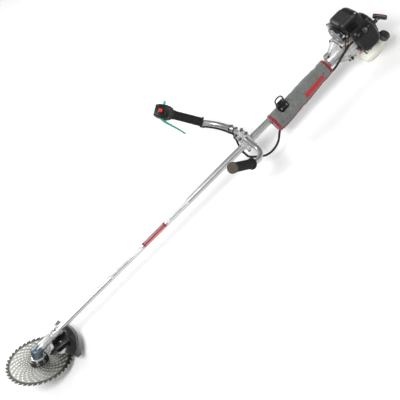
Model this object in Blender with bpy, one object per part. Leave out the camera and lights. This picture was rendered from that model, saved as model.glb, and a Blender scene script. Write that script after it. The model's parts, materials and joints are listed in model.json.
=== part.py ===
"""Bull-handle brush cutter with a two-stroke engine, straight shaft and perforated saw blade.

Row frame: machine lying as stored, shaft horizontal along +X (engine end at +X), +Z up, floor at z = 0.
Stations are distances along the shaft from the gear head's apex, where shaft axis and blade axis cross.
"""
import math

import bmesh
import bpy
from mathutils import Matrix, Vector

for old in list(bpy.data.objects):
    bpy.data.objects.remove(old, do_unlink=True)

# ---------------------------------------------------------------- driving sizes (metres, degrees)
APEX_X = -0.8054          # x of the gear head's apex
AXIS_Y = -0.0070          # y of the shaft axis
AXIS_Z = 0.105            # height of the shaft axis above the floor
HEAD_TILT = 27.5          # blade plane to shaft
TUBE_R, TUBE_WALL = 0.0130, 0.0015
TUBE_FROM, TUBE_TO = 0.0610, 1.5240
SHAFT_R = 0.0040
GAP = 0.0003
BLADE_R, BLADE_BORE_R, BLADE_T = 0.1275, 0.0127, 0.0016
BLADE_DROP = 0.0430       # apex to the blade's mid plane
TEETH = 40
GEAR_TEETH, PINION_TEETH = 21, 15
CONE = 0.0160             # bevel cone distance
BRACKET_S = 1.079
BAR_R = 0.0100
BAR_Z = 0.0310            # handlebar pivot above the shaft axis
GRIP_R, GRIP_LEN = 0.0165, 0.118
PAD_FROM, PAD_TO = 1.194, 1.478
HANGER_S = 1.258
HANGER_TILT = math.radians(40)
CONDUIT_R = 0.0042
CYL_S = 1.613             # cylinder axis station

TILT = math.radians(HEAD_TILT)
N_HEAD = Vector((math.sin(TILT), 0, math.cos(TILT)))
T_HEAD = Vector((math.cos(TILT), 0, -math.sin(TILT)))
Y = Vector((0, 1, 0))


def S(s, y=0.0, z=0.0):
    """Point at station s along the shaft, y to the operator's right, z above the shaft axis."""
    return Vector((APEX_X + s, AXIS_Y + y, AXIS_Z + z))


def axes(origin, z, x=None):
    """Matrix whose local Z is z and local X is as near x as it can be."""
    z = Vector(z).normalized()
    x = Vector(x) if x is not None else (Vector((0, 0, 1)) if abs(z.z) < 0.9 else Vector((1, 0, 0)))
    x = (x - z * x.dot(z)).normalized()
    y = z.cross(x)
    m = Matrix((x, y, z)).transposed().to_4x4()
    m.translation = origin
    return m


HEAD = axes(S(0), N_HEAD, T_HEAD)
SHAFT = axes(S(0), (1, 0, 0), (0, 0, 1))       # local X up, local Z along the shaft

# ---------------------------------------------------------------- materials
PALETTE = {
    "tube": ((0.72, 0.73, 0.74), 0.9, 0.32), "steel": ((0.55, 0.56, 0.57), 1.0, 0.28),
    "dark_steel": ((0.10, 0.10, 0.11), 0.8, 0.42), "gear_blue": ((0.20, 0.25, 0.32), 0.5, 0.45),
    "cast": ((0.66, 0.67, 0.68), 0.8, 0.42), "black": ((0.018, 0.018, 0.02), 0.0, 0.38),
    "gloss_black": ((0.012, 0.012, 0.014), 0.0, 0.16), "rubber": ((0.03, 0.027, 0.025), 0.0, 0.75),
    "fabric": ((0.16, 0.165, 0.17), 0.0, 0.9), "tank": ((0.82, 0.79, 0.68), 0.0, 0.42),
    "green": ((0.16, 0.62, 0.48), 0.0, 0.4), "teal": ((0.02, 0.32, 0.28), 0.0, 0.4),
    "red": ((0.62, 0.03, 0.02), 0.0, 0.35), "maroon": ((0.20, 0.02, 0.025), 0.0, 0.4),
    "silver_paint": ((0.60, 0.61, 0.62), 0.4, 0.35), "brass": ((0.62, 0.42, 0.16), 1.0, 0.3),
    "foam": ((0.10, 0.09, 0.07), 0.0, 0.95), "ceramic": ((0.85, 0.85, 0.82), 0.0, 0.25),
    "clear": ((0.75, 0.62, 0.35), 0.0, 0.25), "rope": ((0.75, 0.74, 0.70), 0.0, 0.9),
}


def material(key):
    found = bpy.data.materials.get(key)
    if found:
        return found
    mat = bpy.data.materials.new(key)
    mat.use_nodes = True
    shader = mat.node_tree.nodes["Principled BSDF"]
    colour, metal, rough = PALETTE[key]
    shader.inputs["Base Color"].default_value = (*colour, 1)
    shader.inputs["Metallic"].default_value = metal
    shader.inputs["Roughness"].default_value = rough
    return mat


# ---------------------------------------------------------------- builders
def finish(name, bm, matrix, mat, origin=None, tag="part"):
    """Object from a bmesh drawn in the matrix's frame; its origin is set to a point in the row frame."""
    bmesh.ops.remove_doubles(bm, verts=bm.verts, dist=1e-6)
    bmesh.ops.recalc_face_normals(bm, faces=bm.faces)
    matrix = matrix or Matrix.Identity(4)
    origin = Vector(origin) if origin is not None else matrix.translation.copy()
    bm.transform(Matrix.Translation(-origin) @ matrix)
    mesh = bpy.data.meshes.new(name)
    bm.to_mesh(mesh)
    bm.free()
    obj = bpy.data.objects.new(name, mesh)
    obj.location = origin
    bpy.context.scene.collection.objects.link(obj)
    if tag == "part":
        mesh.materials.append(material(mat))
    else:
        obj.hide_render = True
        obj.display_type = "WIRE"
    return obj


def bridge(bm, a, b, closed=True):
    """Quads between two loops of vertices; a loop of one vertex is a pole."""
    n = max(len(a), len(b))
    for i in range(n if closed else n - 1):
        j = (i + 1) % n
        corner = [a[i % len(a)], a[j % len(a)], b[j % len(b)], b[i % len(b)]]
        unique = [v for k, v in enumerate(corner) if v not in corner[:k]]
        if len(unique) > 2:
            bm.faces.new(unique)


def lathe(name, profile, matrix, mat, segs=24, origin=None, tag="part", phase=0.0):
    """Turn a closed (radius, height) section about the matrix's local Z; radius 0 gives a pole."""
    bm = bmesh.new()
    loops = []
    for r, h in profile:
        if r < 1e-7:
            loops.append([bm.verts.new((0, 0, h))])
        else:
            loops.append([bm.verts.new((r * math.cos(phase + math.tau * i / segs),
                                        r * math.sin(phase + math.tau * i / segs), h)) for i in range(segs)])
    for k in range(len(loops)):
        a, b = loops[k], loops[(k + 1) % len(loops)]
        if len(a) > 1 or len(b) > 1:
            bridge(bm, a, b)
    return finish(name, bm, matrix, mat, origin, tag)


def loft(name, sections, mat, origin=None, tag="part", ring=False):
    """Solid through loops of row-frame points with equal counts; ring joins the last to the first."""
    bm = bmesh.new()
    loops = [[bm.verts.new(p) for p in sec] for sec in sections]
    for a, b in zip(loops, loops[1:]):
        bridge(bm, a, b)
    if ring:
        bridge(bm, loops[-1], loops[0])
    else:
        bm.faces.new(loops[0])
        bm.faces.new(list(reversed(loops[-1])))
    return finish(name, bm, None, mat, origin if origin is not None else sections[0][0], tag)


def smooth_path(points, per=6):
    """Catmull-Rom curve through the points."""
    pts = [Vector(p) for p in points]
    pts = [pts[0] * 2 - pts[1]] + pts + [pts[-1] * 2 - pts[-2]]
    out = []
    for i in range(1, len(pts) - 2):
        p0, p1, p2, p3 = pts[i - 1:i + 3]
        for k in range(per):
            u = k / per
            out.append(0.5 * ((2 * p1) + (p2 - p0) * u + (2 * p0 - 5 * p1 + 4 * p2 - p3) * u * u
                              + (3 * p1 - p0 - 3 * p2 + p3) * u ** 3))
    out.append(pts[-2])
    return out


def sweep(name, points, radius, mat, segs=12, inner=0.0, origin=None, ends=(None, None), tag="part"):
    """Round section along a path; radius is one number or one per point; inner > 0 makes it a pipe."""
    pts = [Vector(p) for p in points]
    radii = radius if isinstance(radius, (list, tuple)) else [radius] * len(pts)
    bm = bmesh.new()
    outer, bores = [], []
    tangent = Vector(ends[0]) if ends[0] else (pts[1] - pts[0]).normalized()
    side = tangent.cross(Vector((0, 0, 1)) if abs(tangent.z) < 0.9 else Y).normalized()
    for i, p in enumerate(pts):
        if i == len(pts) - 1:
            t = Vector(ends[1]) if ends[1] else (p - pts[i - 1])
        elif i == 0:
            t = tangent
        else:
            t = pts[i + 1] - pts[i - 1]
        t = t.normalized()
        side = (side - t * side.dot(t)).normalized()
        up = t.cross(side)
        for store, r in ((outer, radii[i]), (bores, inner)):
            if r > 0:
                store.append([bm.verts.new(p + (side * math.cos(a) + up * math.sin(a)) * r)
                              for a in (math.tau * k / segs for k in range(segs))])
    for a, b in zip(outer, outer[1:]):
        bridge(bm, a, b)
    if inner > 0:
        for a, b in zip(bores, bores[1:]):
            bridge(bm, b, a)
        bridge(bm, bores[0], outer[0])
        bridge(bm, outer[-1], bores[-1])
    else:
        bm.faces.new(outer[0])
        bm.faces.new(list(reversed(outer[-1])))
    return finish(name, bm, None, mat, origin if origin is not None else pts[0], tag)


def plate(name, outline, low, high, matrix, mat, holes=(), origin=None, tag="part"):
    """Flat plate between two heights with round or polygonal holes."""
    bm = bmesh.new()
    edges = []
    for loop in [outline, *holes]:
        vs = [bm.verts.new((x, y, low)) for x, y in loop]
        edges += [bm.edges.new((vs[i], vs[(i + 1) % len(vs)])) for i in range(len(vs))]
    bmesh.ops.triangle_fill(bm, edges=edges, use_beauty=True, use_dissolve=False)
    made = bmesh.ops.extrude_face_region(bm, geom=list(bm.faces))
    bmesh.ops.translate(bm, vec=(0, 0, high - low),
                        verts=[g for g in made["geom"] if isinstance(g, bmesh.types.BMVert)])
    return finish(name, bm, matrix, mat, origin, tag)


def circle(x, y, r, n, phase=0.0):
    return [(x + r * math.cos(phase + math.tau * i / n), y + r * math.sin(phase + math.tau * i / n))
            for i in range(n)]


def block(name, low, high, mat, matrix=None, bevel=0.0, segs=1, origin=None, tag="part"):
    """Box between two corners in the matrix's frame, edges rounded by bevel."""
    bm = bmesh.new()
    bmesh.ops.create_cube(bm, size=1)
    low, high = Vector(low), Vector(high)
    for v in bm.verts:
        v.co = Vector(((low[i] + high[i]) / 2 + v.co[i] * (high[i] - low[i]) for i in range(3)))
    if bevel:
        bmesh.ops.bevel(bm, geom=list(bm.edges), offset=bevel, segments=segs, profile=0.5,
                        affect="EDGES", clamp_overlap=True)
    if origin is None:
        origin = (matrix or Matrix.Identity(4)) @ ((low + high) / 2)
    return finish(name, bm, matrix, mat, origin, tag)


def rounded(w, h, r, n=3, cx=0.0, cy=0.0):
    """Rounded rectangle outline centred on (cx, cy)."""
    pts = []
    for k, (sx, sy) in enumerate(((1, 1), (-1, 1), (-1, -1), (1, -1))):
        for i in range(n + 1):
            a = math.pi / 2 * (k + i / n)
            pts.append((cx + sx * (w / 2 - r) + r * math.cos(a), cy + sy * (h / 2 - r) + r * math.sin(a)))
    return pts


def boolean(obj, tool, how="DIFFERENCE"):
    mod = obj.modifiers.new(how.lower(), "BOOLEAN")
    mod.operation = how
    mod.solver = "EXACT"
    mod.object = tool
    return obj


def cut_lathe(obj, profile, matrix, segs=24, how="DIFFERENCE", phase=0.0):
    tool = lathe(obj.name + "_tool", profile, matrix, None, segs, tag="tool", phase=phase)
    return boolean(obj, tool, how)


def cut_block(obj, low, high, matrix=None, bevel=0.0, how="DIFFERENCE"):
    tool = block(obj.name + "_tool", low, high, None, matrix, bevel, tag="tool")
    return boolean(obj, tool, how)


def rod(r, a, b):
    return [(0, a), (r, a), (r, b), (0, b)]


def ring(ri, ro, a, b):
    return [(ri, a), (ro, a), (ro, b), (ri, b)]


def bolt(name, at, axis, length, r=0.0025, head_r=0.0045, head_h=0.005, mat="dark_steel"):
    """Socket bolt: seat of the head at `at`, shank along the axis, driver recess in the head."""
    profile = [(0, length), (r, length), (r, 0), (head_r, 0), (head_r, -head_h * 0.85),
               (head_r * 0.85, -head_h), (head_r * 0.5, -head_h), (head_r * 0.5, -head_h * 0.45), (0, -head_h * 0.45)]
    return lathe(name, profile, axes(at, axis), mat, 12)


def flipped(profile):
    return [(r, -h) for r, h in profile]


def bevel_gear(name, teeth, half_angle, matrix, bore, mat, phase, thick=0.0032, face=0.0048):
    """Straight bevel gear, cone apex at the matrix's origin, gear lying along its local +Z."""
    c, s = math.cos(half_angle), math.sin(half_angle)
    module = 2 * CONE * s / teeth
    add, ded = 0.72 * module, 1.0 * module
    bm = bmesh.new()

    def outline(scale):
        loop = []
        for i in range(teeth):
            for frac, off in ((-0.34, -ded), (-0.12, add), (0.12, add), (0.34, -ded)):
                a = phase + math.tau * (i + frac) / teeth
                radius, height = (CONE * s + off * c) * scale, (CONE * c - off * s) * scale
                loop.append(bm.verts.new((radius * math.cos(a), radius * math.sin(a), height)))
        return loop

    def circ(radius, height):
        loop = []
        for i in range(teeth):
            for frac in (-0.34, -0.12, 0.12, 0.34):
                a = phase + math.tau * (i + frac) / teeth
                loop.append(bm.verts.new((radius * math.cos(a), radius * math.sin(a), height)))
        return loop

    small = (CONE - face) / CONE
    back = CONE * c + ded * s + thick
    front_r = (CONE * s - ded * c) * small
    front_h = (CONE * c + ded * s) * small
    hub = min(front_r - 0.0006, bore + 0.0030)
    loops = [circ(bore, front_h + 0.0003), circ(hub, front_h + 0.0003), outline(small), outline(1.0),
             circ(CONE * s - ded * c - 0.0004, back), circ(bore, back)]
    for k in range(len(loops)):
        bridge(bm, loops[k], loops[(k + 1) % len(loops)])
    return finish(name, bm, matrix, mat)


# ================================================================ cutting head
gear_case = lathe("gear_case", [
    (0, -0.0285), (0.0240, -0.0285), (0.0250, -0.0275), (0.0250, -0.0240), (0.0212, -0.0225), (0.0208, 0.0040),
    (0.0190, 0.0110), (0.0140, 0.0155), (0.0070, 0.0178), (0, 0.0183)], HEAD, "gear_blue", 24)
cut_lathe(gear_case, [(0, 0.004), (0.0175, 0.004), (0.0180, 0.020), (0.0168, 0.030), (0.0157, 0.045), (0.0155, 0.088),
                      (0.0165, 0.0900), (0.0165, 0.1205), (0, 0.1205)], SHAFT, 24, "UNION")
cut_block(gear_case, (0.094, -0.0095, 0.010), (0.1205, 0.0095, 0.0300), Matrix.Translation(S(0)), 0.002, "UNION")
cut_lathe(gear_case, [(0, -0.040), (0.0143, -0.040), (0.0143, -0.0120), (0.0172, -0.0112), (0.0172, 0.0030),
                      (0.0100, 0.0060), (0, 0.0060)], HEAD, 24)
cut_lathe(gear_case, [(0, -0.002), (0.0123, -0.002), (0.0123, 0.0600), (0.0133, 0.0602), (0.0133, 0.130),
                      (0, 0.130)], SHAFT, 28)
cut_block(gear_case, (0.0900, -0.0011, 0.0120), (0.1300, 0.0011, 0.0400), Matrix.Translation(S(0)))
cut_lathe(gear_case, rod(0.0030, -0.02, 0.02), axes(S(0.1075, 0, 0.0230), Y), 12)
bolt("gear_clamp_bolt", S(0.1075, -0.0098, 0.0230), (0, 1, 0), 0.0225, 0.0026, 0.0046, 0.0048)

lathe("input_bearing", ring(0.0044, 0.0120, 0.0230, 0.0320), SHAFT, "steel", 24)
lathe("output_bearing", ring(0.0064, 0.0140, -0.0225, -0.0130), HEAD, "steel", 24)

# gear geometry: shaft angle between the pinion's +X and the crown gear's -n directions
SIGMA = math.pi / 2 + TILT
G_HALF = math.atan2(math.sin(SIGMA), PINION_TEETH / GEAR_TEETH + math.cos(SIGMA))
P_HALF = SIGMA - G_HALF
gear_frame = axes(S(0), -N_HEAD, T_HEAD)        # tooth gap faces the pinion, along T_HEAD
bevel_gear("crown_gear", GEAR_TEETH, G_HALF, gear_frame, 0.0064, "steel", math.pi / GEAR_TEETH)
pinion_frame = axes(S(0), (1, 0, 0), -N_HEAD)   # a tooth faces the crown gear
bevel_gear("pinion", PINION_TEETH, P_HALF, pinion_frame, 0.0044, "steel", 0.0)

lathe("output_spindle", [(0, -0.0630), (0.0052, -0.0630), (0.0060, -0.0620), (0.0060, -0.0010), (0.0049, 0.0000),
                         (0.0049, 0.0015), (0, 0.0015)], HEAD, "steel", 20)
lathe("blade_holder", [(0.0064, -0.0300), (0.0300, -0.0300), (0.0345, -0.0312), (0.0362, -0.0330),
                       (0.0362, -0.0395), (0.0350, -0.0419), (0.0124, -0.0419), (0.0124, -0.0437),
                       (0.0064, -0.0437)], HEAD, "black", 26)


def saw_outline():
    pts = []
    for i in range(TEETH):
        for frac, r in ((0.0, BLADE_R), (0.58, BLADE_R - 0.0078), (0.84, BLADE_R - 0.0078)):
            a = math.tau * (i + frac) / TEETH
            pts.append((r * math.cos(a), r * math.sin(a)))
    return pts


def blade_holes():
    out = []
    arms, rows = 13, 7
    for k in range(arms):
        for j in range(rows):
            r = 0.0480 + j * 0.0096
            a = math.tau * k / arms + j * 0.170
            out.append(circle(r * math.cos(a), r * math.sin(a), 0.0036 + 0.00012 * j, 6, a))
    return out


plate("saw_blade", saw_outline(), -BLADE_DROP - BLADE_T / 2, -BLADE_DROP + BLADE_T / 2, HEAD, "steel",
      [circle(0, 0, BLADE_BORE_R, 28)] + blade_holes())
lathe("lower_flange", [(0.0064, -0.0441), (0.0270, -0.0441), (0.0285, -0.0455), (0.0285, -0.0470),
                       (0.0230, -0.0500), (0.0064, -0.0500)], HEAD, "dark_steel", 22)
plate("blade_nut", circle(0, 0, 0.0112, 6), -0.0600, -0.0504, HEAD, "steel", [circle(0, 0, 0.0065, 20)])

# ---------------------------------------------------------------- debris guard
GUARD_FROM, GUARD_TO, GUARD_T = -44.0, 40.0, 0.0030


def guard_section(phi):
    """Top line of the guard's section at an angle about the blade axis, as (radius, height) pairs."""
    c = max(0.0, math.cos(math.radians(phi) * 2.0))
    lip = -0.0249 + 0.0215 * max(0.0, (abs(phi) - 20.0) / 24.0) ** 1.4
    return [(0.0540, -0.0060), (0.0980, 0.0040 + 0.0120 * c), (0.1340, 0.0100 + 0.0180 * c),
            (0.1520, 0.0090 + 0.0120 * c), (0.1625, 0.0010), (0.1660, -0.0150), (0.1670, lip)]


def guard_loop(phi):
    top = [Vector((r, w)) for r, w in guard_section(phi)]
    under = []
    for i, p in enumerate(top):
        a, b = top[max(i - 1, 0)], top[min(i + 1, len(top) - 1)]
        d = (b - a).normalized()
        under.append(p + Vector((d.y, -d.x)) * GUARD_T)
    a = math.radians(phi)
    out = T_HEAD * math.cos(a) + Y * math.sin(a)
    return [S(0) + out * q.x + N_HEAD * q.y for q in top + under[::-1]]


steps = 12
debris_guard = loft("debris_guard", [guard_loop(GUARD_FROM + (GUARD_TO - GUARD_FROM) * i / steps)
                                     for i in range(steps + 1)], "gloss_black", S(0.10))
GUARD_BOLTS = ((0.093, 0.037), (0.093, -0.037))
for s_at, y_at in GUARD_BOLTS:
    cut_lathe(debris_guard, rod(0.0080, -0.046, -0.0262), axes(S(s_at, y_at), (0, 0, 1)), 16, "UNION")
for s_at, y_at in GUARD_BOLTS:
    cut_lathe(debris_guard, rod(0.0033, -0.070, 0.0), axes(S(s_at, y_at), (0, 0, 1)), 12)

BRACKET = ((0.0600, -0.0430), (0.0680, -0.0520), (0.1200, -0.0600), (0.1230, -0.0570), (0.1230, 0.0680),
           (0.1200, 0.0710), (0.0660, 0.0520), (0.0590, 0.0430))
guard_bracket = plate("guard_bracket", BRACKET, -0.0258, -0.0206, Matrix.Translation(S(0)), "black")
cut_block(guard_bracket, (0.068, -0.0200, -0.0240), (0.0910, 0.0200, -0.0020), Matrix.Translation(S(0)), 0.002, "UNION")
cut_lathe(guard_bracket, rod(0.0171, 0.040, 0.140), SHAFT, 28)
for s_at, y_at in GUARD_BOLTS:
    cut_lathe(guard_bracket, [
        (0, -0.0520), (0.0030, -0.0520), (0.0030, -0.0220), (0.0056, -0.0220), (0.0056, -0.0165),
        (0.0046, -0.0155), (0.0026, -0.0155), (0.0026, -0.0178), (0, -0.0178)],
        axes(S(s_at, y_at), (0, 0, 1)), 12, "UNION")

# ================================================================ shaft
lathe("main_tube", ring(TUBE_R - TUBE_WALL, TUBE_R, TUBE_FROM, TUBE_TO), SHAFT, "tube", 32)
lathe("drive_shaft", rod(SHAFT_R, 0.0105, 1.5350), SHAFT, "steel", 12)
for i, s_at in enumerate((0.42, 1.15)):
    lathe(f"shaft_bush_{i + 1}", ring(SHAFT_R + GAP, TUBE_R - TUBE_WALL - GAP, s_at, s_at + 0.030), SHAFT, "black", 16)

# ================================================================ handle bracket (cast, three stacked pieces)
HB = S(BRACKET_S)
BRX, BRY = 0.0200, 0.0225
shape = Matrix.Translation(HB)
base = block("handle_bracket_base", (-BRX, -BRY, -0.0190), (BRX, BRY, -0.0006), "cast", shape, 0.0030)
mid = block("handle_bracket_middle", (-BRX, -BRY, 0.0006), (BRX, BRY, BAR_Z - 0.0008), "cast", shape, 0.0018)
cap = block("handle_bracket_cap", (-BRX, -BRY, BAR_Z + 0.0008), (BRX, BRY, BAR_Z + 0.0140), "cast", shape, 0.0030)
for obj in (base, mid):
    cut_lathe(obj, rod(TUBE_R + GAP, -0.05, 0.05), axes(HB, (1, 0, 0), (0, 0, 1)), 32)
for obj in (mid, cap):
    cut_lathe(obj, rod(BAR_R + GAP, -0.05, 0.05), axes(S(BRACKET_S, 0, BAR_Z), Y), 24)
for i, (dx, dy) in enumerate(((1, 1), (-1, 1), (-1, -1), (1, -1))):
    at = S(BRACKET_S + dx * 0.0150, dy * 0.0174, BAR_Z + 0.0140)
    for obj in (base, mid):
        cut_lathe(obj, rod(0.0029, -0.0700, 0.0020), axes(at, (0, 0, 1)), 10)
    cut_lathe(cap, [(0, -0.0480), (0.0025, -0.0480), (0.0025, -0.0030), (0.0044, -0.0020), (0.0044, 0.0046),
                    (0.0038, 0.0052), (0.0024, 0.0052), (0.0024, 0.0025), (0, 0.0025)], axes(at, (0, 0, 1)), 10, "UNION")

# ================================================================ handlebar
BAR_O = S(BRACKET_S, 0, BAR_Z)
GRIP_AT = Vector((-0.057, 0.193, 0.038))
GRIP_DIR = Vector((-0.516, 0.443, 0.733)).normalized()
FINGER_SIDE = Vector((-0.814, -0.436, -0.384))


def mirror(v, side):
    return Vector((v.x, v.y * side, v.z))


def bar_path(side):
    pts = [Vector(p) for p in ((0, 0.0010, 0), (0, 0.0130, 0), (0, 0.0250, 0), (0.0005, 0.0360, -0.0016),
                               (0.0020, 0.0600, -0.0080), (0.003, 0.090, -0.0150),
                               (-0.004, 0.120, -0.0110), (-0.017, 0.150, 0.0010), (-0.034, 0.174, 0.0160))]
    pts.append(GRIP_AT)
    curve = smooth_path([BAR_O + mirror(p, side) for p in pts], 3)
    return curve


def grip_axes(side):
    return axes(BAR_O + mirror(GRIP_AT, side), mirror(GRIP_DIR, side), mirror(FINGER_SIDE, side))


GR, GL = grip_axes(1), grip_axes(-1)
for side, label, length in ((1, "right", GRIP_LEN + 0.036), (-1, "left", GRIP_LEN - 0.006)):
    path = bar_path(side)
    path.append(BAR_O + mirror(GRIP_AT + GRIP_DIR * length, side))
    sweep(f"handle_bar_{label}", path, BAR_R, "tube", 14, 0.0, BAR_O, ((0, side, 0), mirror(GRIP_DIR, side)))


def grip_profile(length, closed):
    ri = BAR_R + GAP
    prof = [(ri, 0.0), (0.0195, 0.0), (0.0205, 0.0015), (0.0205, 0.0045), (0.0195, 0.0060), (GRIP_R, 0.0085)]
    prof += [(GRIP_R, length - 0.0100)]
    if closed:
        prof += [(0.0190, length - 0.0080), (0.0195, length + 0.0045), (0.0170, length + 0.0075),
                 (0, length + 0.0085), (0, length + 0.0045), (ri, length + 0.0045)]
    else:
        prof += [(0.0180, length - 0.0085), (0.0180, length), (ri, length)]
    return prof


lathe("grip_right", grip_profile(GRIP_LEN, False), GR, "rubber", 20)
lathe("grip_left", grip_profile(GRIP_LEN + 0.002, True), GL, "rubber", 20)

# grip frame of the throttle side: local Z along the grip, local X the finger side, local Y inward
HOUSE_A, HOUSE_B = GRIP_LEN + 0.0004, GRIP_LEN + 0.0680
SIDE = 1 if (GR.to_3x3() @ Vector((0, 1, 0))).dot(Vector((0, -0.788, 0.615))) > 0 else -1


def house_outline(z):
    u = (z - HOUSE_A) / (HOUSE_B - HOUSE_A)
    swell = math.sin(math.pi * min(1.0, 0.18 + 0.70 * u))
    return 0.0390 + 0.0160 * swell, 0.0340 + 0.0060 * swell


def house_half(name, sign, mat):
    sections = []
    for k in range(6):
        z = HOUSE_A + (HOUSE_B - HOUSE_A) * k / 5
        w, h = house_outline(z)
        if k in (0, 5):
            w, h = w * 0.90, h * 0.88
        pts = [(x, max(y, 0.0)) for x, y in rounded(w, h, 0.009, 4) if y >= -1e-9]
        pts = sorted({(round(x, 7), round(y, 7)) for x, y in pts if y > 1e-6}, key=lambda p: -math.atan2(p[1], p[0]))
        pts = [(-w / 2, GAP / 2)] + pts + [(w / 2, GAP / 2)]
        sections.append([GR @ Vector((x, sign * y, z)) for x, y in pts])
    return loft(name, sections, mat, GR @ Vector((0, 0, HOUSE_A)))


upper = house_half("throttle_housing_front", SIDE, "black")
lower = house_half("throttle_housing_back", -SIDE, "black")
for obj in (upper, lower):
    cut_lathe(obj, rod(BAR_R + GAP, HOUSE_A - 0.01, GRIP_LEN + 0.0370), GR, 24)
    cut_block(obj, (-0.0180, -0.0125, GRIP_LEN + 0.0366), (0.0190, 0.0125, HOUSE_B - 0.0030), GR)
    cut_block(obj, (0.0080, -0.0052, GRIP_LEN - 0.0010), (0.0480, 0.0050, HOUSE_B - 0.0100), GR)
    cut_block(obj, (-0.0480, -0.0050, GRIP_LEN + 0.0240), (-0.0080, 0.0050, HOUSE_B - 0.0100), GR)
cut_block(upper, (-0.0068, SIDE * 0.0060, GRIP_LEN + 0.0400), (0.0068, SIDE * 0.0300, GRIP_LEN + 0.0545), GR)

# throttle trigger: long blade lying along the finger side of the grip, pivot in the housing
TRIG = Vector((0.0200, 0, GRIP_LEN + 0.0460))
LOCK = Vector((-0.0190, 0, GRIP_LEN + 0.0460))


def lever(name, centre, pivot, mat, half, widths):
    """Lever of rounded section along a centre line in the grip's local XZ plane, turning about its pivot."""
    sections = []
    n = len(centre)
    for i, (x, z, t) in enumerate(centre):
        a, b = centre[max(i - 1, 0)], centre[min(i + 1, n - 1)]
        d = Vector((b[0] - a[0], 0, b[1] - a[1])).normalized()
        nrm = Vector((d.z, 0, -d.x))
        w = widths[i] * half
        loop = []
        for ux, uy in ((-1, -0.7), (-0.6, -1), (0.6, -1), (1, -0.7), (1, 0.7), (0.6, 1), (-0.6, 1), (-1, 0.7)):
            loop.append(GR @ (Vector((x, 0, z)) + nrm * (t / 2 * ux) + Vector((0, w * uy, 0))))
        sections.append(loop)
    return loft(name, sections, mat, GR @ pivot)


G = GRIP_LEN
lever("throttle_trigger", [(0.0190, G + 0.0520, 0.007), (0.0200, G + 0.0460, 0.009), (0.0275, G + 0.0330, 0.008),
                           (0.0345, G + 0.0170, 0.006), (0.0400, G - 0.0030, 0.005), (0.0452, G - 0.0240, 0.005),
                           (0.0510, G - 0.0450, 0.005), (0.0580, G - 0.0660, 0.0045)],
      TRIG, "teal", 0.0080, (0.52, 0.55, 0.55, 0.58, 1, 1, 0.95, 0.6))
lever("lockout_lever", [(-0.0180, G + 0.0520, 0.007), (-0.0190, G + 0.0460, 0.009), (-0.0240, G + 0.0400, 0.009),
                        (-0.0300, G + 0.0375, 0.007), (-0.0360, G + 0.0375, 0.006), (-0.0410, G + 0.0395, 0.004)],
      LOCK, "green", 0.0080, (0.52, 0.55, 0.56, 0.60, 1.0, 0.8))
sw = house_outline(GRIP_LEN + 0.047)[1] / 2
switch_low, switch_high = sorted((SIDE * 0.0135, SIDE * (sw + 0.0045)))
stop_switch = block("stop_switch", (-0.0064, switch_low, GRIP_LEN + 0.0404), (0.0064, switch_high, GRIP_LEN + 0.0541),
                    "red", GR, 0.0010)

# ================================================================ throttle conduit: a protected cable, housing to carburettor
JOINT = BAR_O + Vector((-0.0180, 0.0480, -0.0190))
upper_pts = [GR @ Vector((0.0154, 0, -0.0014))]
bar_curve = [p for p in bar_path(1) if p.y - BAR_O.y > 0.058]
for i in range(len(bar_curve) - 2, 0, -2):
    along = (bar_curve[i - 1] - bar_curve[i + 1]).normalized()
    off = FINGER_SIDE - along * FINGER_SIDE.dot(along)
    upper_pts.append(bar_curve[i] + off.normalized() * 0.0152)
upper_pts += [JOINT + Vector((0, 0.010, 0.0010)), JOINT + Vector((0, GAP / 2, 0))]
sweep("conduit_upper", smooth_path(upper_pts, 2), CONDUIT_R, "rubber", 8, 0, BAR_O, (None, (0, -1, 0)))
C0 = JOINT - Vector((0, GAP / 2, 0))
lower_pts = [C0, C0 + Vector((-0.0050, -0.0120, -0.0060)), S(1.0500, 0.0240, -0.0040), S(1.0455, 0.0090, -0.0190),
             S(1.0450, -0.0080, -0.0240),
             S(1.0480, -0.032, -0.0290), S(1.0720, -0.060, -0.0370), S(1.0960, -0.076, -0.0440),
             S(1.1280, -0.078, -0.0460), S(1.1600, -0.064, -0.0450), S(1.1860, -0.043, -0.0380),
             S(1.2150, -0.028, -0.0260), S(1.2600, -0.021, -0.0180), S(1.3300, -0.020, -0.0165),
             S(1.4100, -0.020, -0.0165), S(1.4500, -0.024, -0.0170), S(1.4800, -0.030, -0.0180),
             S(1.5000, -0.0350, -0.0110), S(1.5220, -0.0400, 0.0010), S(1.5480, -0.0510, 0.0200),
             S(1.5740, -0.0570, 0.0310), S(1.5960, -0.0610, 0.0335)]
LOWER = smooth_path(lower_pts, 2)
sweep("conduit_lower", LOWER, CONDUIT_R, "rubber", 8, 0, None, ((0, -1, 0), None))

# ================================================================ hip pad and hanger
PAD_SECTIONS = 10


def pad_at(u):
    """Centre and half sizes of the pad's section at a fraction of its length."""
    cy = -0.0200 + 0.0120 * u
    cz = -0.0100 + 0.0080 * u
    r = 0.0400 - 0.0070 * u
    end = math.sin(math.pi * min(max(u, 0.0), 1.0)) ** 0.3
    return cy, cz, r * (0.93 + 0.07 * end)


def pad_loop(u, n=18):
    cy, cz, r = pad_at(u)
    s_at = PAD_FROM + (PAD_TO - PAD_FROM) * u
    return [S(s_at, cy + r * math.cos(math.tau * i / n), cz + 0.94 * r * math.sin(math.tau * i / n)) for i in range(n)]


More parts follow.
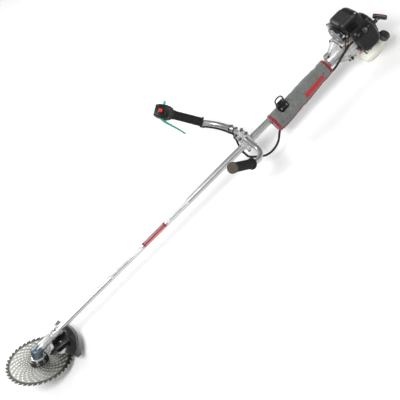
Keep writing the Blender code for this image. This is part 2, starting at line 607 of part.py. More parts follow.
hip_pad = loft("hip_pad", [pad_loop(i / PAD_SECTIONS) for i in range(PAD_SECTIONS + 1)], "fabric",
               S((PAD_FROM + PAD_TO) / 2))
cut_lathe(hip_pad, rod(TUBE_R + GAP, PAD_FROM - 0.02, PAD_TO + 0.02), SHAFT, 32)
inside = [p for p in LOWER if 1.170 < p.x - APEX_X < 1.500]
tool = sweep("conduit_passage", inside, CONDUIT_R + 0.0006, None, 8, 0, None, (None, None), "tool")
boolean(hip_pad, tool)
HANGER = Matrix.Translation(S(0)) @ Matrix.Rotation(HANGER_TILT, 4, "X")
cut_block(hip_pad, (HANGER_S - 0.0200, -0.022, -0.0005), (HANGER_S + 0.0200, 0.022, 0.070), HANGER)

hanger = lathe("hanger_clamp", ring(TUBE_R + GAP, 0.0175, HANGER_S - 0.0180, HANGER_S + 0.0180),
               HANGER @ Matrix.Translation(-S(0)) @ SHAFT, "black", 24)
cut_block(hanger, (HANGER_S - 0.0180, -0.0170, 0.0145), (HANGER_S + 0.0180, 0.0170, 0.0455), HANGER, 0.0025, "UNION")
cut_block(hanger, (HANGER_S - 0.0060, -0.0085, 0.0400), (HANGER_S + 0.0060, 0.0085, 0.0600), HANGER, 0.0015, "UNION")
cut_block(hanger, (HANGER_S - 0.030, -0.030, -0.030), (HANGER_S + 0.030, 0.030, 0.0010), HANGER)
EYE = HANGER @ Vector((HANGER_S, 0, 0.0515))
cut_lathe(hanger, rod(0.0050, -0.02, 0.02), axes(EYE, (1, 0, 0)), 16)
RING_MAJOR, RING_MINOR = 0.0165, 0.0028


def torus(name, centre, normal, major, minor, mat, n=28, m=8, origin=None, stretch=1.0):
    f = axes(centre, normal)
    secs = []
    for i in range(n):
        a = math.tau * i / n
        out = f.to_3x3() @ Vector((math.cos(a), math.sin(a), 0))
        at = f @ Vector((major * math.cos(a) * stretch, major * math.sin(a), 0))
        secs.append([at + out * (minor * math.cos(b)) + f.to_3x3().col[2] * (minor * math.sin(b))
                     for b in (math.tau * k / m for k in range(m))])
    return loft(name, secs, mat, origin, ring=True)


# the ring's wire passes the clamp's eye along X, and the ring stands above it in the XZ plane
torus("hanger_ring", EYE + Vector((0, 0, RING_MAJOR)), Y, RING_MAJOR, RING_MINOR, "dark_steel", 24, 6, EYE)

# ================================================================ engine: clutch end
clutch_case = lathe("clutch_case", [
    (TUBE_R + GAP, 1.4880), (0.0195, 1.4880), (0.0210, 1.4900), (0.0235, 1.5050), (0.0320, 1.5250), (0.0430, 1.5430),
    (0.0475, 1.5490), (0.0475, 1.5605), (0.0415, 1.5605), (0.0405, 1.5430), (0.0210, 1.5262), (TUBE_R + GAP, 1.5250)],
    SHAFT, "cast", 28)
cut_block(clutch_case, (1.4890, -0.0085, 0.0150), (1.5120, 0.0085, 0.0318), Matrix.Translation(S(0)), 0.0015, "UNION")
cut_block(clutch_case, (1.4800, -0.0010, 0.0125), (1.5135, 0.0010, 0.0400), Matrix.Translation(S(0)))
cut_lathe(clutch_case, rod(0.0029, -0.02, 0.02), axes(S(1.5000, 0, 0.0266), Y), 12)
cut_lathe(clutch_case, rod(TUBE_R + GAP, 1.4700, 1.5252), SHAFT, 28)
bolt("clutch_clamp_bolt", S(1.5000, -0.0088, 0.0266), (0, 1, 0), 0.0200, 0.0026, 0.0046, 0.0048)
lathe("clutch_drum", [(0.0044, 1.5275), (0.0190, 1.5275), (0.0385, 1.5440), (0.0385, 1.5580), (0.0370, 1.5580),
                      (0.0370, 1.5455), (0.0180, 1.5300), (0.0044, 1.5300)], SHAFT, "steel", 22)
lathe("clutch_shoes", [(0.0053, 1.5460), (0.0350, 1.5475), (0.0355, 1.5570), (0.0120, 1.5570), (0.0053, 1.5565)],
      SHAFT, "dark_steel", 24)

crank = lathe("crankshaft", [
    (0, 1.5410), (0.0050, 1.5410), (0.0050, 1.5970), (0.0270, 1.5975), (0.0270, 1.6065), (0.0085, 1.6070),
    (0.0085, 1.6190), (0.0270, 1.6195), (0.0270, 1.6285), (0.0050, 1.6290), (0.0050, 1.6830), (0, 1.6830)],
    SHAFT, "steel", 20)
crankcase = block("crankcase", (1.5690, -0.0400, -0.0400), (1.6380, 0.0400, 0.0450), "cast",
                  Matrix.Translation(S(0)), 0.0060, 2)
cut_lathe(crankcase, [(0, 1.5620), (0.0475, 1.5620), (0.0475, 1.5695), (0.0400, 1.5720), (0, 1.5720)],
          SHAFT, 32, "UNION")
cut_lathe(crankcase, [(0, 1.5500), (0.0056, 1.5500), (0.0056, 1.5940), (0.0300, 1.5940), (0.0300, 1.6320),
                      (0.0056, 1.6320), (0.0056, 1.6600), (0, 1.6600)], SHAFT, 24)
cut_lathe(crankcase, rod(0.0173, 0.010, 0.060), axes(S(CYL_S), (0, 0, 1)), 24)

cyl_axes = axes(S(CYL_S), (0, 0, 1), (1, 0, 0))
fins = [(0.0173, 0.0454), (0.0260, 0.0454), (0.0260, 0.0510)]
z_at = 0.0510
for k in range(5):
    fins += [(0.0275, z_at), (0.0275, z_at + 0.0018), (0.0225, z_at + 0.0018), (0.0225, z_at + 0.0066)]
    z_at += 0.0066
fins += [(0.0270, z_at), (0.0270, z_at + 0.0030), (0.0060, z_at + 0.0060), (0.0060, z_at - 0.0030),
         (0.0150, z_at - 0.0040), (0.0173, z_at - 0.0060)]
cylinder = lathe("cylinder", fins, cyl_axes, "cast", 18)
lathe("piston", [(0, 0.0680), (0.0140, 0.0680), (0.0140, 0.0500), (0.0168, 0.0500), (0.0168, 0.0730),
                 (0.0120, 0.0748), (0, 0.0752)], cyl_axes, "steel", 24)
lathe("spark_plug", [(0, z_at - 0.0020), (0.0050, z_at - 0.0020), (0.0056, z_at + 0.0064), (0.0090, z_at + 0.0066),
                     (0.0090, z_at + 0.0110), (0.0050, z_at + 0.0120), (0.0046, z_at + 0.0165), (0, z_at + 0.0170)],
      cyl_axes, "ceramic", 12)

# ---------------------------------------------------------------- cooling cover, front panel, recoil end
TOP = 0.1090


def cover_loop(s_at, shrink=0.0, z0=0.0475, top=TOP):
    w, h = 0.0920 - 2 * shrink, top - z0 - shrink
    out = []
    for y, z in rounded(w, h, min(0.026 - shrink * 0.6, h / 2 - 0.001), 4, 0.0, z0 + h / 2):
        if z < z0 + 0.020:
            z = max(z, z0)
        out.append(S(s_at, y, z))
    return out


COVER = [(1.5820, 0.008, 0.100), (1.5880, 0.003, 0.1065), (1.6040, 0.0, TOP), (1.6400, 0.0, TOP), (1.6640, 0.002, 0.105),
         (1.6730, 0.008, 0.097)]
engine_cover = loft("engine_cover", [cover_loop(s, k, 0.0475, t) for s, k, t in COVER], "black", S(1.63, 0, 0.08))
INNER = [(1.5817, 0.0105, 0.0985), (1.5890, 0.0060, 0.1040), (1.6040, 0.0025, TOP - 0.0025),
         (1.6400, 0.0025, TOP - 0.0025), (1.6630, 0.0045, 0.1020), (1.6708, 0.0105, 0.0945)]
inner = loft("engine_cover_hollow", [cover_loop(s, k, 0.0400, t) for s, k, t in INNER], None, None, "tool")
boolean(engine_cover, inner)

front = []
for s_at, grow in ((1.5625, 0.0290), (1.5650, 0.0370), (1.5720, 0.0410), (1.5805, 0.0420)):
    arch = [S(s_at, grow * math.cos(math.pi * i / 12), 0.0600 + 0.74 * grow * math.sin(math.pi * i / 12))
            for i in range(13)]
    front.append(arch + [S(s_at, -grow, 0.0490), S(s_at, grow, 0.0490)])
loft("front_panel", front, "silver_paint", S(1.570, 0, 0.075))

rec = lathe("recoil_case", [
    (0, 1.7060), (0.0180, 1.7060), (0.0300, 1.7040), (0.0500, 1.6960), (0.0550, 1.6890), (0.0550, 1.6440),
    (0.0525, 1.6440), (0.0525, 1.6870), (0.0485, 1.6930), (0.0295, 1.7012), (0.0180, 1.7030), (0, 1.7032)],
    SHAFT, "black", 28)
cut_block(rec, (1.6400, -0.0700, 0.0440), (1.6750, 0.0700, 0.0900), Matrix.Translation(S(0)))
ROPE_AT = (-0.0440, 0.0160)
cut_lathe(rec, rod(0.0070, 1.6850, 1.7100), axes(S(0, *ROPE_AT), (1, 0, 0)), 16, "UNION")
cut_lathe(rec, rod(0.0028, 1.6750, 1.7300), axes(S(0, *ROPE_AT), (1, 0, 0)), 12)
fan = lathe("flywheel_fan", [(0.0053, 1.6410), (0.0150, 1.6410), (0.0400, 1.6430), (0.0400, 1.6470), (0.0160, 1.6490),
                             (0.0160, 1.6570), (0.0053, 1.6570)], SHAFT, "cast", 20)
for k in range(8):
    a = math.tau * k / 8
    m = SHAFT @ Matrix.Rotation(a, 4, "Z") @ Matrix.Translation((0.0280, 0, 1.6510)) @ Matrix.Rotation(0.5, 4, "Z")
    cut_block(fan, (-0.0100, -0.0010, -0.0060), (0.0100, 0.0010, 0.0060), m, 0.0, "UNION")
lathe("starter_reel", [(0.0053, 1.6640), (0.0330, 1.6640), (0.0330, 1.6660), (0.0270, 1.6670), (0.0270, 1.6730),
                       (0.0330, 1.6740), (0.0330, 1.6760), (0.0053, 1.6760)], SHAFT, "black", 20)
rope_m = axes(S(0, *ROPE_AT), (1, 0, 0), (0, 0, 1))
lathe("starter_rope", rod(0.0020, 1.6460, 1.7200), rope_m, "rope", 10)
# T grip: cross bar tilted in the YZ plane, stem on the rope's line
THANDLE = 1.7272
bar_dir = Vector((0.59, -0.49, -0.58)).normalized()
grip_m = axes(S(THANDLE, *ROPE_AT), bar_dir, (1, 0, 0))
starter_handle = lathe("starter_handle", [(0, -0.0260), (0.0070, -0.0260), (0.0092, -0.0235), (0.0086, -0.0100),
                                          (0.0098, 0.0), (0.0086, 0.0100), (0.0092, 0.0235), (0.0070, 0.0260),
                                          (0, 0.0260)], grip_m, "black", 16, S(THANDLE, *ROPE_AT))
cut_lathe(starter_handle, [(0, 1.7140), (0.0058, 1.7140), (0.0070, 1.7240), (0, 1.7240)], rope_m, 14, "UNION")
cut_lathe(starter_handle, rod(0.0023, 1.7100, 1.7203), rope_m, 10)

# ---------------------------------------------------------------- intake side (operator's left)
carb = block("carburettor", (1.6000, -0.0745, 0.0180), (1.6300, -0.0480, 0.0470), "steel",
             Matrix.Translation(S(0)), 0.0025)
cut_lathe(carb, [(0, 0.0), (0.0080, 0.0), (0.0080, 0.0080), (0, 0.0080)],
          axes(S(1.6150, -0.0480, 0.0325), (0, 1, 0)), 16, "UNION")
cut_lathe(carb, rod(0.0055, -0.04, 0.02), axes(S(1.6150, -0.0600, 0.0325), (0, 1, 0)), 16)
cut_lathe(carb, rod(0.0102, -0.0100, 0.0048), axes(S(1.6150, -0.0612, 0.0180), (0, 0, 1)), 16)
air_box = block("air_box", (1.5870, -0.0930, -0.0020), (1.6670, -0.0780, 0.0840), "black",
                Matrix.Translation(S(0)), 0.0030)
cut_lathe(air_box, rod(0.0070, -0.02, 0.02), axes(S(1.6150, -0.0850, 0.0325), (0, 1, 0)), 16)


def air_loop(y, w, h, r, cz=0.0410, cx=1.6270):
    return [S(x, y, z) for x, z in rounded(w, h, r, 4, cx, cz)]


air_cover = loft("air_cover", [air_loop(-0.0934, 0.0820, 0.0900, 0.020), air_loop(-0.1120, 0.0810, 0.0890, 0.022),
                               air_loop(-0.1210, 0.0730, 0.0800, 0.024), air_loop(-0.1250, 0.0540, 0.0610, 0.022)],
                 "gloss_black", S(1.627, -0.108, 0.041))
hollow = loft("air_cover_hollow", [air_loop(-0.0900, 0.0770, 0.0850, 0.018), air_loop(-0.1110, 0.0760, 0.0840, 0.020),
                                   air_loop(-0.1190, 0.0680, 0.0750, 0.022)], None, None, "tool")
boolean(air_cover, hollow)
block("air_filter", (1.5950, -0.1080, 0.0050), (1.6590, -0.0936, 0.0770), "foam", Matrix.Translation(S(0)), 0.0040)
CHOKE = S(1.5867, -0.0855, 0.0180)
choke_m = axes(CHOKE, (-1, 0, 0), (0, -1, 0))
choke = lathe("choke_lever", rod(0.0045, 0.0004, 0.0090), choke_m, "red", 12)
cut_block(choke, (0.0, -0.0030, 0.0050), (0.0240, 0.0030, 0.0085), choke_m, 0.0010, "UNION")

# ---------------------------------------------------------------- exhaust side (operator's right)
muffler = block("muffler", (1.5800, 0.0480, 0.0150), (1.6380, 0.0730, 0.0760), "dark_steel",
                Matrix.Translation(S(0)), 0.0080, 2)
cut_lathe(muffler, rod(0.0050, -0.004, 0.012), axes(S(1.6250, 0.0730, 0.0300), (0, 1, 0)), 14, "UNION")
cut_lathe(muffler, rod(0.0036, -0.012, 0.03), axes(S(1.6250, 0.0730, 0.0300), (0, 1, 0)), 14)
block("ignition_coil", (1.6450, 0.0100, 0.0500), (1.6630, 0.0320, 0.0720), "rubber", Matrix.Translation(S(0)), 0.0015)

# ---------------------------------------------------------------- fuel tank slung below, filler on the left rear
def tank_loop(z, x0, x1, y0, y1, r):
    return [S(x, y, z) for x, y in rounded(x1 - x0, y1 - y0, r, 4, (x0 + x1) / 2, (y0 + y1) / 2)]


TANK = [(-0.1050, 1.6060, 1.6740, -0.0400, 0.0440, 0.020), (-0.1020, 1.6010, 1.6800, -0.0460, 0.0500, 0.024),
        (-0.0900, 1.5970, 1.6860, -0.0530, 0.0550, 0.026), (-0.0720, 1.5970, 1.6880, -0.0560, 0.0550, 0.026),
        (-0.0600, 1.6000, 1.6880, -0.0540, 0.0530, 0.024), (-0.0575, 1.6040, 1.6840, -0.0500, 0.0490, 0.020)]
tank = loft("fuel_tank", [tank_loop(*t) for t in TANK], "tank", S(1.63, 0, -0.08))
CAP_DIR = Vector((0.46, -0.54, 0.70)).normalized()
CAP_M = axes(S(1.6790, -0.0440, -0.0690), CAP_DIR)
cut_lathe(tank, [(0, -0.020), (0.0140, -0.020), (0.0140, 0.0280), (0, 0.0280)], CAP_M, 20, "UNION")
TANK_IN = [(-0.1025, 1.6090, 1.6710, -0.0370, 0.0410, 0.018), (-0.0998, 1.6040, 1.6770, -0.0430, 0.0470, 0.022),
           (-0.0890, 1.6000, 1.6830, -0.0500, 0.0520, 0.024), (-0.0725, 1.6000, 1.6850, -0.0530, 0.0520, 0.024),
           (-0.0622, 1.6030, 1.6850, -0.0510, 0.0500, 0.022), (-0.0600, 1.6070, 1.6810, -0.0470, 0.0460, 0.018)]
hollow = loft("fuel_tank_hollow", [tank_loop(*t) for t in TANK_IN], None, None, "tool")
boolean(tank, hollow)
cut_lathe(tank, rod(0.0112, -0.0100, 0.0400), CAP_M, 20)
lathe("fuel_cap", [(0, 0.0283), (0.0188, 0.0283), (0.0200, 0.0295), (0.0205, 0.0440), (0.0185, 0.0470), (0.0100, 0.0480),
                   (0, 0.0480)], CAP_M, "black", 24)
BULB = S(1.6150, -0.0612, 0.0145)
lathe("primer_bulb", [(0, 0.0040), (0.0060, 0.0040), (0.0095, 0.0030), (0.0095, 0.0010), (0.0085, -0.0030),
                      (0.0050, -0.0062), (0, -0.0072)], axes(BULB, (0, 0, 1)), "clear", 16)
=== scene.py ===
import json
from math import atan2, copysign, cos, exp, hypot, pi, radians, sin, sqrt, tau
import bpy
import bmesh
from mathutils import Vector, Matrix, noise
from mathutils.bvhtree import BVHTree
from mathutils.geometry import delaunay_2d_cdt


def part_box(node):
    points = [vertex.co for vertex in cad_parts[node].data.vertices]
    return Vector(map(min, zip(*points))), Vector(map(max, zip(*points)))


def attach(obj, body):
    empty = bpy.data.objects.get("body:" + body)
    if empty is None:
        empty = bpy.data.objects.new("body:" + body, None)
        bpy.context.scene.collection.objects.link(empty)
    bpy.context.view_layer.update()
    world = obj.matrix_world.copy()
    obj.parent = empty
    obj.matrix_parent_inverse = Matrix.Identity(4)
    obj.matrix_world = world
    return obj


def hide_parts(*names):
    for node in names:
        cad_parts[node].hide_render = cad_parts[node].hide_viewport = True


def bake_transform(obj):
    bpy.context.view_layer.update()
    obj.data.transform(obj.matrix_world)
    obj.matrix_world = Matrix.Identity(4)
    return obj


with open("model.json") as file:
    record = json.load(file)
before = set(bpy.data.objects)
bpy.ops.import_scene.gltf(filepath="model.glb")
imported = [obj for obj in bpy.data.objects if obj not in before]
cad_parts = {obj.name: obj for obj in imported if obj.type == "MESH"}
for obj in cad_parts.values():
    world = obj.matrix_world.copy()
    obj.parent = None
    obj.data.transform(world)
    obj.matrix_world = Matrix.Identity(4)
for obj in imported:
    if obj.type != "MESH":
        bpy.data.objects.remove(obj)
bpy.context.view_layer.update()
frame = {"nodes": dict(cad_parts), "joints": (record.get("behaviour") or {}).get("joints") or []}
N = frame["nodes"]

# ---- stations and axes, from the CAD
TUBE_START = 0.061    # station of the tube's lower end; station 0 is the blade's axis
_lo, _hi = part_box("main_tube")
AX, AY, AZ = _lo.x - TUBE_START, (_lo.y + _hi.y) / 2, (_lo.z + _hi.z) / 2
X, Y, Z = Vector((1, 0, 0)), Vector((0, 1, 0)), Vector((0, 0, 1))
JOINTS = {j["name"]: j for j in frame["joints"]}


def S(s, y=0.0, z=0.0):
    """Point at station s along the shaft, y to the right of it and z above it."""
    return Vector((AX + s, AY + y, AZ + z))


def P(s, y, z):
    """The same in millimetres."""
    return S(s / 1000, y / 1000, z / 1000)


def mm(rows):
    """Rows of millimetres as rows of metres."""
    return [[v / 1000 for v in row] for row in rows]


def link(o):
    bpy.context.scene.collection.objects.link(o)


def turn(n, start=0.0):
    """n angles evenly round a circle."""
    return [tau * k / n + start for k in range(n)]


def polar(r, a, z=0.0):
    return Vector((r * cos(a), r * sin(a), z))


def around(s, r, a):
    """Point at station s, r from the shaft's axis, at angle a from its right side."""
    return S(s, r * cos(a), r * sin(a))


def axes(origin, z, x=None):
    """Frame at origin with its Z along z and its X as near x as it can be."""
    z = Vector(z).normalized()
    x = Vector(x) if x is not None else (Z if abs(z.z) < 0.9 else X)
    x = (x - z * x.dot(z)).normalized()
    return Matrix.Translation(origin) @ Matrix((x, z.cross(x), z)).transposed().to_4x4()


N_HEAD = Vector(JOINTS["blade_spin"]["axis"]).normalized()
T_HEAD = Y.cross(N_HEAD).normalized()
if T_HEAD.x < 0:
    T_HEAD = -T_HEAD
HEAD = axes(S(0), N_HEAD, T_HEAD)
SHAFT = axes(S(0), X, Z)
VIEW = Vector((0, -0.7878, 0.6153)).normalized()


# ---- materials
def ramp(nt, fac, stops):
    r = nt.nodes.new("ShaderNodeValToRGB")
    e = r.color_ramp.elements
    while len(e) < len(stops):
        e.new(0.5)
    for el, (p, c) in zip(e, stops):
        el.position = p
        el.color = (*c, 1) if len(c) == 3 else c
    nt.links.new(fac, r.inputs["Fac"])
    return r.outputs["Color"]


def mapped(nt, coord, scale):
    m = nt.nodes.new("ShaderNodeMapping")
    m.inputs["Scale"].default_value = scale
    nt.links.new(coord, m.inputs["Vector"])
    return m.outputs["Vector"]


def tex(nt, kind, vec, scale, **k):
    t = nt.nodes.new({"noise": "ShaderNodeTexNoise", "voronoi": "ShaderNodeTexVoronoi",
        "wave": "ShaderNodeTexWave"}[kind])
    t.inputs["Scale"].default_value = scale
    for key, v in k.items():
        if key in ("wave_type", "bands_direction", "rings_direction", "feature", "wave_profile"):
            setattr(t, key, v)
        else:
            t.inputs[key].default_value = v
    nt.links.new(vec, t.inputs["Vector"])
    return t.outputs["Distance"] if kind == "voronoi" else t.outputs["Fac"]


def rng(nt, v, a, b, lo, hi):
    m = nt.nodes.new("ShaderNodeMapRange")
    for i, x in enumerate((a, b, lo, hi)):
        m.inputs[i + 1].default_value = x
    nt.links.new(v, m.inputs[0])
    return m.outputs[0]


def mix(nt, fac, a, b, blend="MIX"):
    m = nt.nodes.new("ShaderNodeMix")
    m.data_type, m.blend_type = "RGBA", blend
    for sock, v in ((m.inputs[0], fac), (m.inputs[6], a), (m.inputs[7], b)):
        if isinstance(v, (int, float)):
            sock.default_value = v
        elif isinstance(v, tuple):
            sock.default_value = (*v, 1)
        else:
            nt.links.new(v, sock)
    return m.outputs[2]


def math2(nt, op, a, b):
    m = nt.nodes.new("ShaderNodeMath")
    m.operation = op
    for sock, v in ((m.inputs[0], a), (m.inputs[1], b)):
        if isinstance(v, (int, float)):
            sock.default_value = v
        else:
            nt.links.new(v, sock)
    return m.outputs[0]


def material(name, cols, rough=(0.35, 0.5), metal=0.0, mottle=60.0, bumps=(), wear=None, stretch=(1, 1, 1),
        coat=0.0, sheen=0.0, transmission=0.0, sss=0.0, spec=0.5, grime=0.12, grime_scale=14.0, extra=None):
    """Procedural finish: colour mottle, soiling, edge wear, roughness breakup and stacked bumps."""
    m = bpy.data.materials.new(name)
    m.use_nodes = True
    nt = m.node_tree
    p = nt.nodes["Principled BSDF"]
    co = nt.nodes.new("ShaderNodeTexCoord").outputs["Object"]
    st = mapped(nt, co, stretch)
    f = tex(nt, "noise", st, mottle, Detail=5.0, Roughness=0.6)
    col = ramp(nt, f, [(0.34 + 0.32 * i / max(1, len(cols) - 1), c) for i, c in enumerate(cols)])
    big = tex(nt, "noise", co, grime_scale, Detail=6.0, Roughness=0.65)
    if grime:
        col = mix(nt, rng(nt, big, 0.35, 0.75, 0.0, grime), col, tuple(c * 0.42 for c in cols[0]))
    fine = tex(nt, "noise", st, mottle * 4.5, Detail=3.0)
    r = math2(nt, "ADD", rng(nt, fine, 0.3, 0.7, rough[0], rough[1]), rng(nt, big, 0.4, 0.8, 0.0, 0.07))
    if wear:
        geo = nt.nodes.new("ShaderNodeNewGeometry").outputs["Pointiness"]
        w = math2(nt, "MULTIPLY", rng(nt, geo, 0.52, 0.6, 0.0, 1.0), rng(nt, fine, 0.38, 0.58, 0.15, 1.0))
        col = mix(nt, w, col, wear)
        r = math2(nt, "SUBTRACT", r, math2(nt, "MULTIPLY", w, 0.08))
    if extra:
        col, r = extra(nt, co, col, r)
    nt.links.new(col, p.inputs["Base Color"])
    nt.links.new(r, p.inputs["Roughness"])
    for socket, value in (("Metallic", metal), ("Coat Weight", coat), ("Coat Roughness", 0.12),
            ("Sheen Weight", sheen), ("Transmission Weight", transmission), ("Subsurface Weight", sss),
            ("Subsurface Radius", (0.012, 0.01, 0.008)), ("Specular IOR Level", spec)):
        p.inputs[socket].default_value = value
    last = None
    for kind, scale, strength, dist, *more in bumps:
        kw = dict(*more)
        v = mapped(nt, co, kw.pop("by")) if "by" in kw else st
        h = tex(nt, kind, v, scale, **kw)
        b = nt.nodes.new("ShaderNodeBump")
        b.inputs["Strength"].default_value = strength
        b.inputs["Distance"].default_value = dist
        nt.links.new(h, b.inputs["Height"])
        if last is not None:
            nt.links.new(last, b.inputs["Normal"])
        last = b.outputs["Normal"]
    if last is not None:
        nt.links.new(last, p.inputs["Normal"])
    return m


def weave(nt, co, col, r):
    """Plain cloth: two crossing thread directions, darker in the gaps, lighter on the crowns."""
    a = tex(nt, "wave", mapped(nt, co, (1, 1, 1)), 230.0, bands_direction="X", Distortion=0.6)
    b = tex(nt, "wave", mapped(nt, co, (0, 1, 0.9)), 230.0, bands_direction="DIAGONAL", Distortion=0.6)
    h = math2(nt, "MAXIMUM", a, b)
    col = mix(nt, rng(nt, h, 0.2, 0.9, 0.55, 0.0), col, (0.045, 0.047, 0.05))
    return col, r


def head_look(nt, co, col, r):
    """Blue-grey paint on the spindle housing, bare at its lower flange and along the neck."""
    x = nt.nodes.new("ShaderNodeSeparateXYZ")
    nt.links.new(co, x.inputs[0])
    d = nt.nodes.new("ShaderNodeVectorMath")
    d.operation = "DOT_PRODUCT"
    nt.links.new(co, d.inputs[0])
    d.inputs[1].default_value = N_HEAD
    h = d.outputs["Value"]
    at = S(0).dot(N_HEAD)
    w = math2(nt, "MULTIPLY", rng(nt, x.outputs[0], AX + 0.0245, AX + 0.0325, 1.0, 0.0),
        rng(nt, h, at - 0.0215, at - 0.0195, 0.0, 1.0))
    return mix(nt, w, col, (0.115, 0.15, 0.175)), r


M = {}
M["tube"] = material("m_tube", [(0.4, 0.41, 0.4), (0.54, 0.55, 0.54), (0.47, 0.48, 0.47)], (0.24, 0.36), 1.0,
    40, stretch=(1, 26, 26), bumps=[("noise", 300, 0.1, 0.0004, {"Detail": 4.0})], grime=0.18, grime_scale=9)
M["cast"] = material("m_cast", [(0.34, 0.345, 0.34), (0.52, 0.53, 0.52), (0.43, 0.44, 0.44)], (0.36, 0.52),
    0.9, 90, wear=(0.7, 0.7, 0.69), bumps=[("noise", 900, 0.25, 0.0005, {"Detail": 4.0}),
    ("voronoi", 420, 0.12, 0.0005)], grime=0.35, grime_scale=30)
M["gear"] = material("m_gear", [(0.42, 0.43, 0.43), (0.58, 0.59, 0.59), (0.5, 0.51, 0.52)], (0.3, 0.44), 0.75,
    70, wear=(0.72, 0.72, 0.71), bumps=[("noise", 700, 0.18, 0.0004, {"Detail": 4.0})], grime=0.3,
    grime_scale=40, extra=head_look)
M["steel"] = material("m_steel", [(0.32, 0.33, 0.33), (0.5, 0.5, 0.5)], (0.22, 0.38), 1.0, 120,
    wear=(0.85, 0.85, 0.84), bumps=[("noise", 1200, 0.12, 0.0003)], grime=0.3, grime_scale=60)
M["dark"] = material("m_dark_steel", [(0.02, 0.02, 0.021), (0.045, 0.045, 0.046)], (0.3, 0.46), 0.8, 150,
    wear=(0.32, 0.31, 0.3), bumps=[("noise", 1400, 0.2, 0.0003)])
M["black"] = material("m_black_plastic", [(0.0035, 0.0037, 0.0038), (0.008, 0.0083, 0.0083)], (0.2, 0.32),
    0.0, 110, wear=(0.045, 0.045, 0.045), bumps=[("voronoi", 1500, 0.22, 0.0003),
    ("noise", 160, 0.1, 0.0008)], grime=0.0, spec=0.22)
M["gloss"] = material("m_gloss_black", [(0.0035, 0.0037, 0.0035), (0.007, 0.0074, 0.007)], (0.16, 0.26), 0.0,
    70, wear=(0.05, 0.05, 0.05), bumps=[("noise", 45, 0.12, 0.0015), ("noise", 900, 0.06, 0.0003)], coat=0.35,
    grime=0.0)
M["rubber"] = material("m_rubber", [(0.0045, 0.0045, 0.0043), (0.011, 0.0108, 0.0102)], (0.55, 0.75), 0.0,
    180, wear=(0.07, 0.068, 0.064), bumps=[("noise", 1300, 0.35, 0.0004, {"Detail": 5.0})], grime=0.0,
    spec=0.18)
M["cap_end"] = material("m_grip_end", [(0.04, 0.031, 0.024), (0.09, 0.072, 0.056), (0.026, 0.021, 0.017)],
    (0.6, 0.8), 0.0, 240, bumps=[("noise", 900, 0.4, 0.0005, {"Detail": 5.0})], grime=0.4, grime_scale=90)
M["fabric"] = material("m_pad_fabric", [(0.118, 0.126, 0.12), (0.205, 0.212, 0.203), (0.15, 0.158, 0.151)],
    (0.78, 0.95), 0.0, 120, sheen=0.25, grime=0.45, grime_scale=22, spec=0.2, extra=weave, bumps=[
        ("wave", 230, 0.55, 0.0006, {"bands_direction": "X", "Distortion": 0.8}),
        ("wave", 230, 0.55, 0.0006, {"bands_direction": "DIAGONAL", "by": (0, 1, 0.9), "Distortion": 0.8}),
        ("noise", 48, 0.35, 0.004, {"Detail": 4.0})])
M["piping"] = material("m_piping", [(0.16, 0.008, 0.016), (0.3, 0.018, 0.03)], (0.6, 0.8), 0.0, 400,
    sheen=0.3, bumps=[("wave", 420, 0.5, 0.0004, {"bands_direction": "DIAGONAL", "Distortion": 1.0})],
    grime=0.4, spec=0.2)
M["label"] = material("m_label", [(0.3, 0.006, 0.012), (0.46, 0.012, 0.02)], (0.5, 0.7), 0.0, 260,
    bumps=[("wave", 500, 0.35, 0.0003, {"bands_direction": "X"}), ("noise", 800, 0.2, 0.0002)], grime=0.25,
    sheen=0.1)
M["thread"] = material("m_thread", [(0.24, 0.23, 0.22), (0.38, 0.37, 0.36)], (0.7, 0.85), 0.0, 700,
    bumps=[("wave", 900, 0.5, 0.0002, {"bands_direction": "DIAGONAL"})])
M["tank"] = material("m_tank", [(0.78, 0.775, 0.66), (0.88, 0.875, 0.79), (0.83, 0.825, 0.72)], (0.3, 0.42),
    0.0, 30, sss=0.35, bumps=[("noise", 260, 0.12, 0.0006, {"Detail": 4.0}), ("noise", 1500, 0.1, 0.0002)],
    grime=0.22, grime_scale=20)
for key, cols, worn in (("mint", [(0.02, 0.42, 0.26), (0.035, 0.54, 0.35)], (0.3, 0.66, 0.54)),
        ("teal", [(0.006, 0.23, 0.165), (0.012, 0.33, 0.24)], (0.16, 0.5, 0.43))):
    M[key] = material("m_" + key, cols, (0.32, 0.45), 0.0, 140, wear=worn,
        bumps=[("noise", 1200, 0.12, 0.0003)])
M["red"] = material("m_red", [(0.46, 0.01, 0.012), (0.62, 0.022, 0.02)], (0.28, 0.4), 0.0, 160,
    wear=(0.72, 0.16, 0.13), bumps=[("noise", 1200, 0.1, 0.0002)], grime=0.1)
M["maroon"] = material("m_maroon", [(0.12, 0.01, 0.022), (0.2, 0.02, 0.036)], (0.35, 0.5), 0.0, 160,
    bumps=[("noise", 1200, 0.15, 0.0003)], grime=0.1)
M["panel"] = material("m_panel", [(0.1, 0.106, 0.11), (0.15, 0.157, 0.162), (0.125, 0.131, 0.135)],
    (0.34, 0.46), 0.0, 60, wear=(0.7, 0.7, 0.7), bumps=[("noise", 900, 0.1, 0.0003),
    ("noise", 60, 0.1, 0.001)], coat=0.05, grime=0.25, grime_scale=26)
M["foam"] = material("m_foam", [(0.02, 0.02, 0.02), (0.05, 0.05, 0.048)], (0.85, 0.98), 0.0, 400,
    bumps=[("voronoi", 900, 0.9, 0.001)], grime=0.3)
M["ceramic"] = material("m_ceramic", [(0.72, 0.71, 0.68), (0.82, 0.81, 0.79)], (0.16, 0.26), 0.0, 90,
    coat=0.5, bumps=[("wave", 160, 0.3, 0.0006, {"bands_direction": "Z"})], grime=0.3, grime_scale=80)
M["clear"] = material("m_primer", [(0.62, 0.6, 0.52), (0.78, 0.76, 0.68)], (0.08, 0.16), 0.0, 120,
    transmission=0.75, bumps=[("noise", 500, 0.08, 0.0003)], grime=0.1)
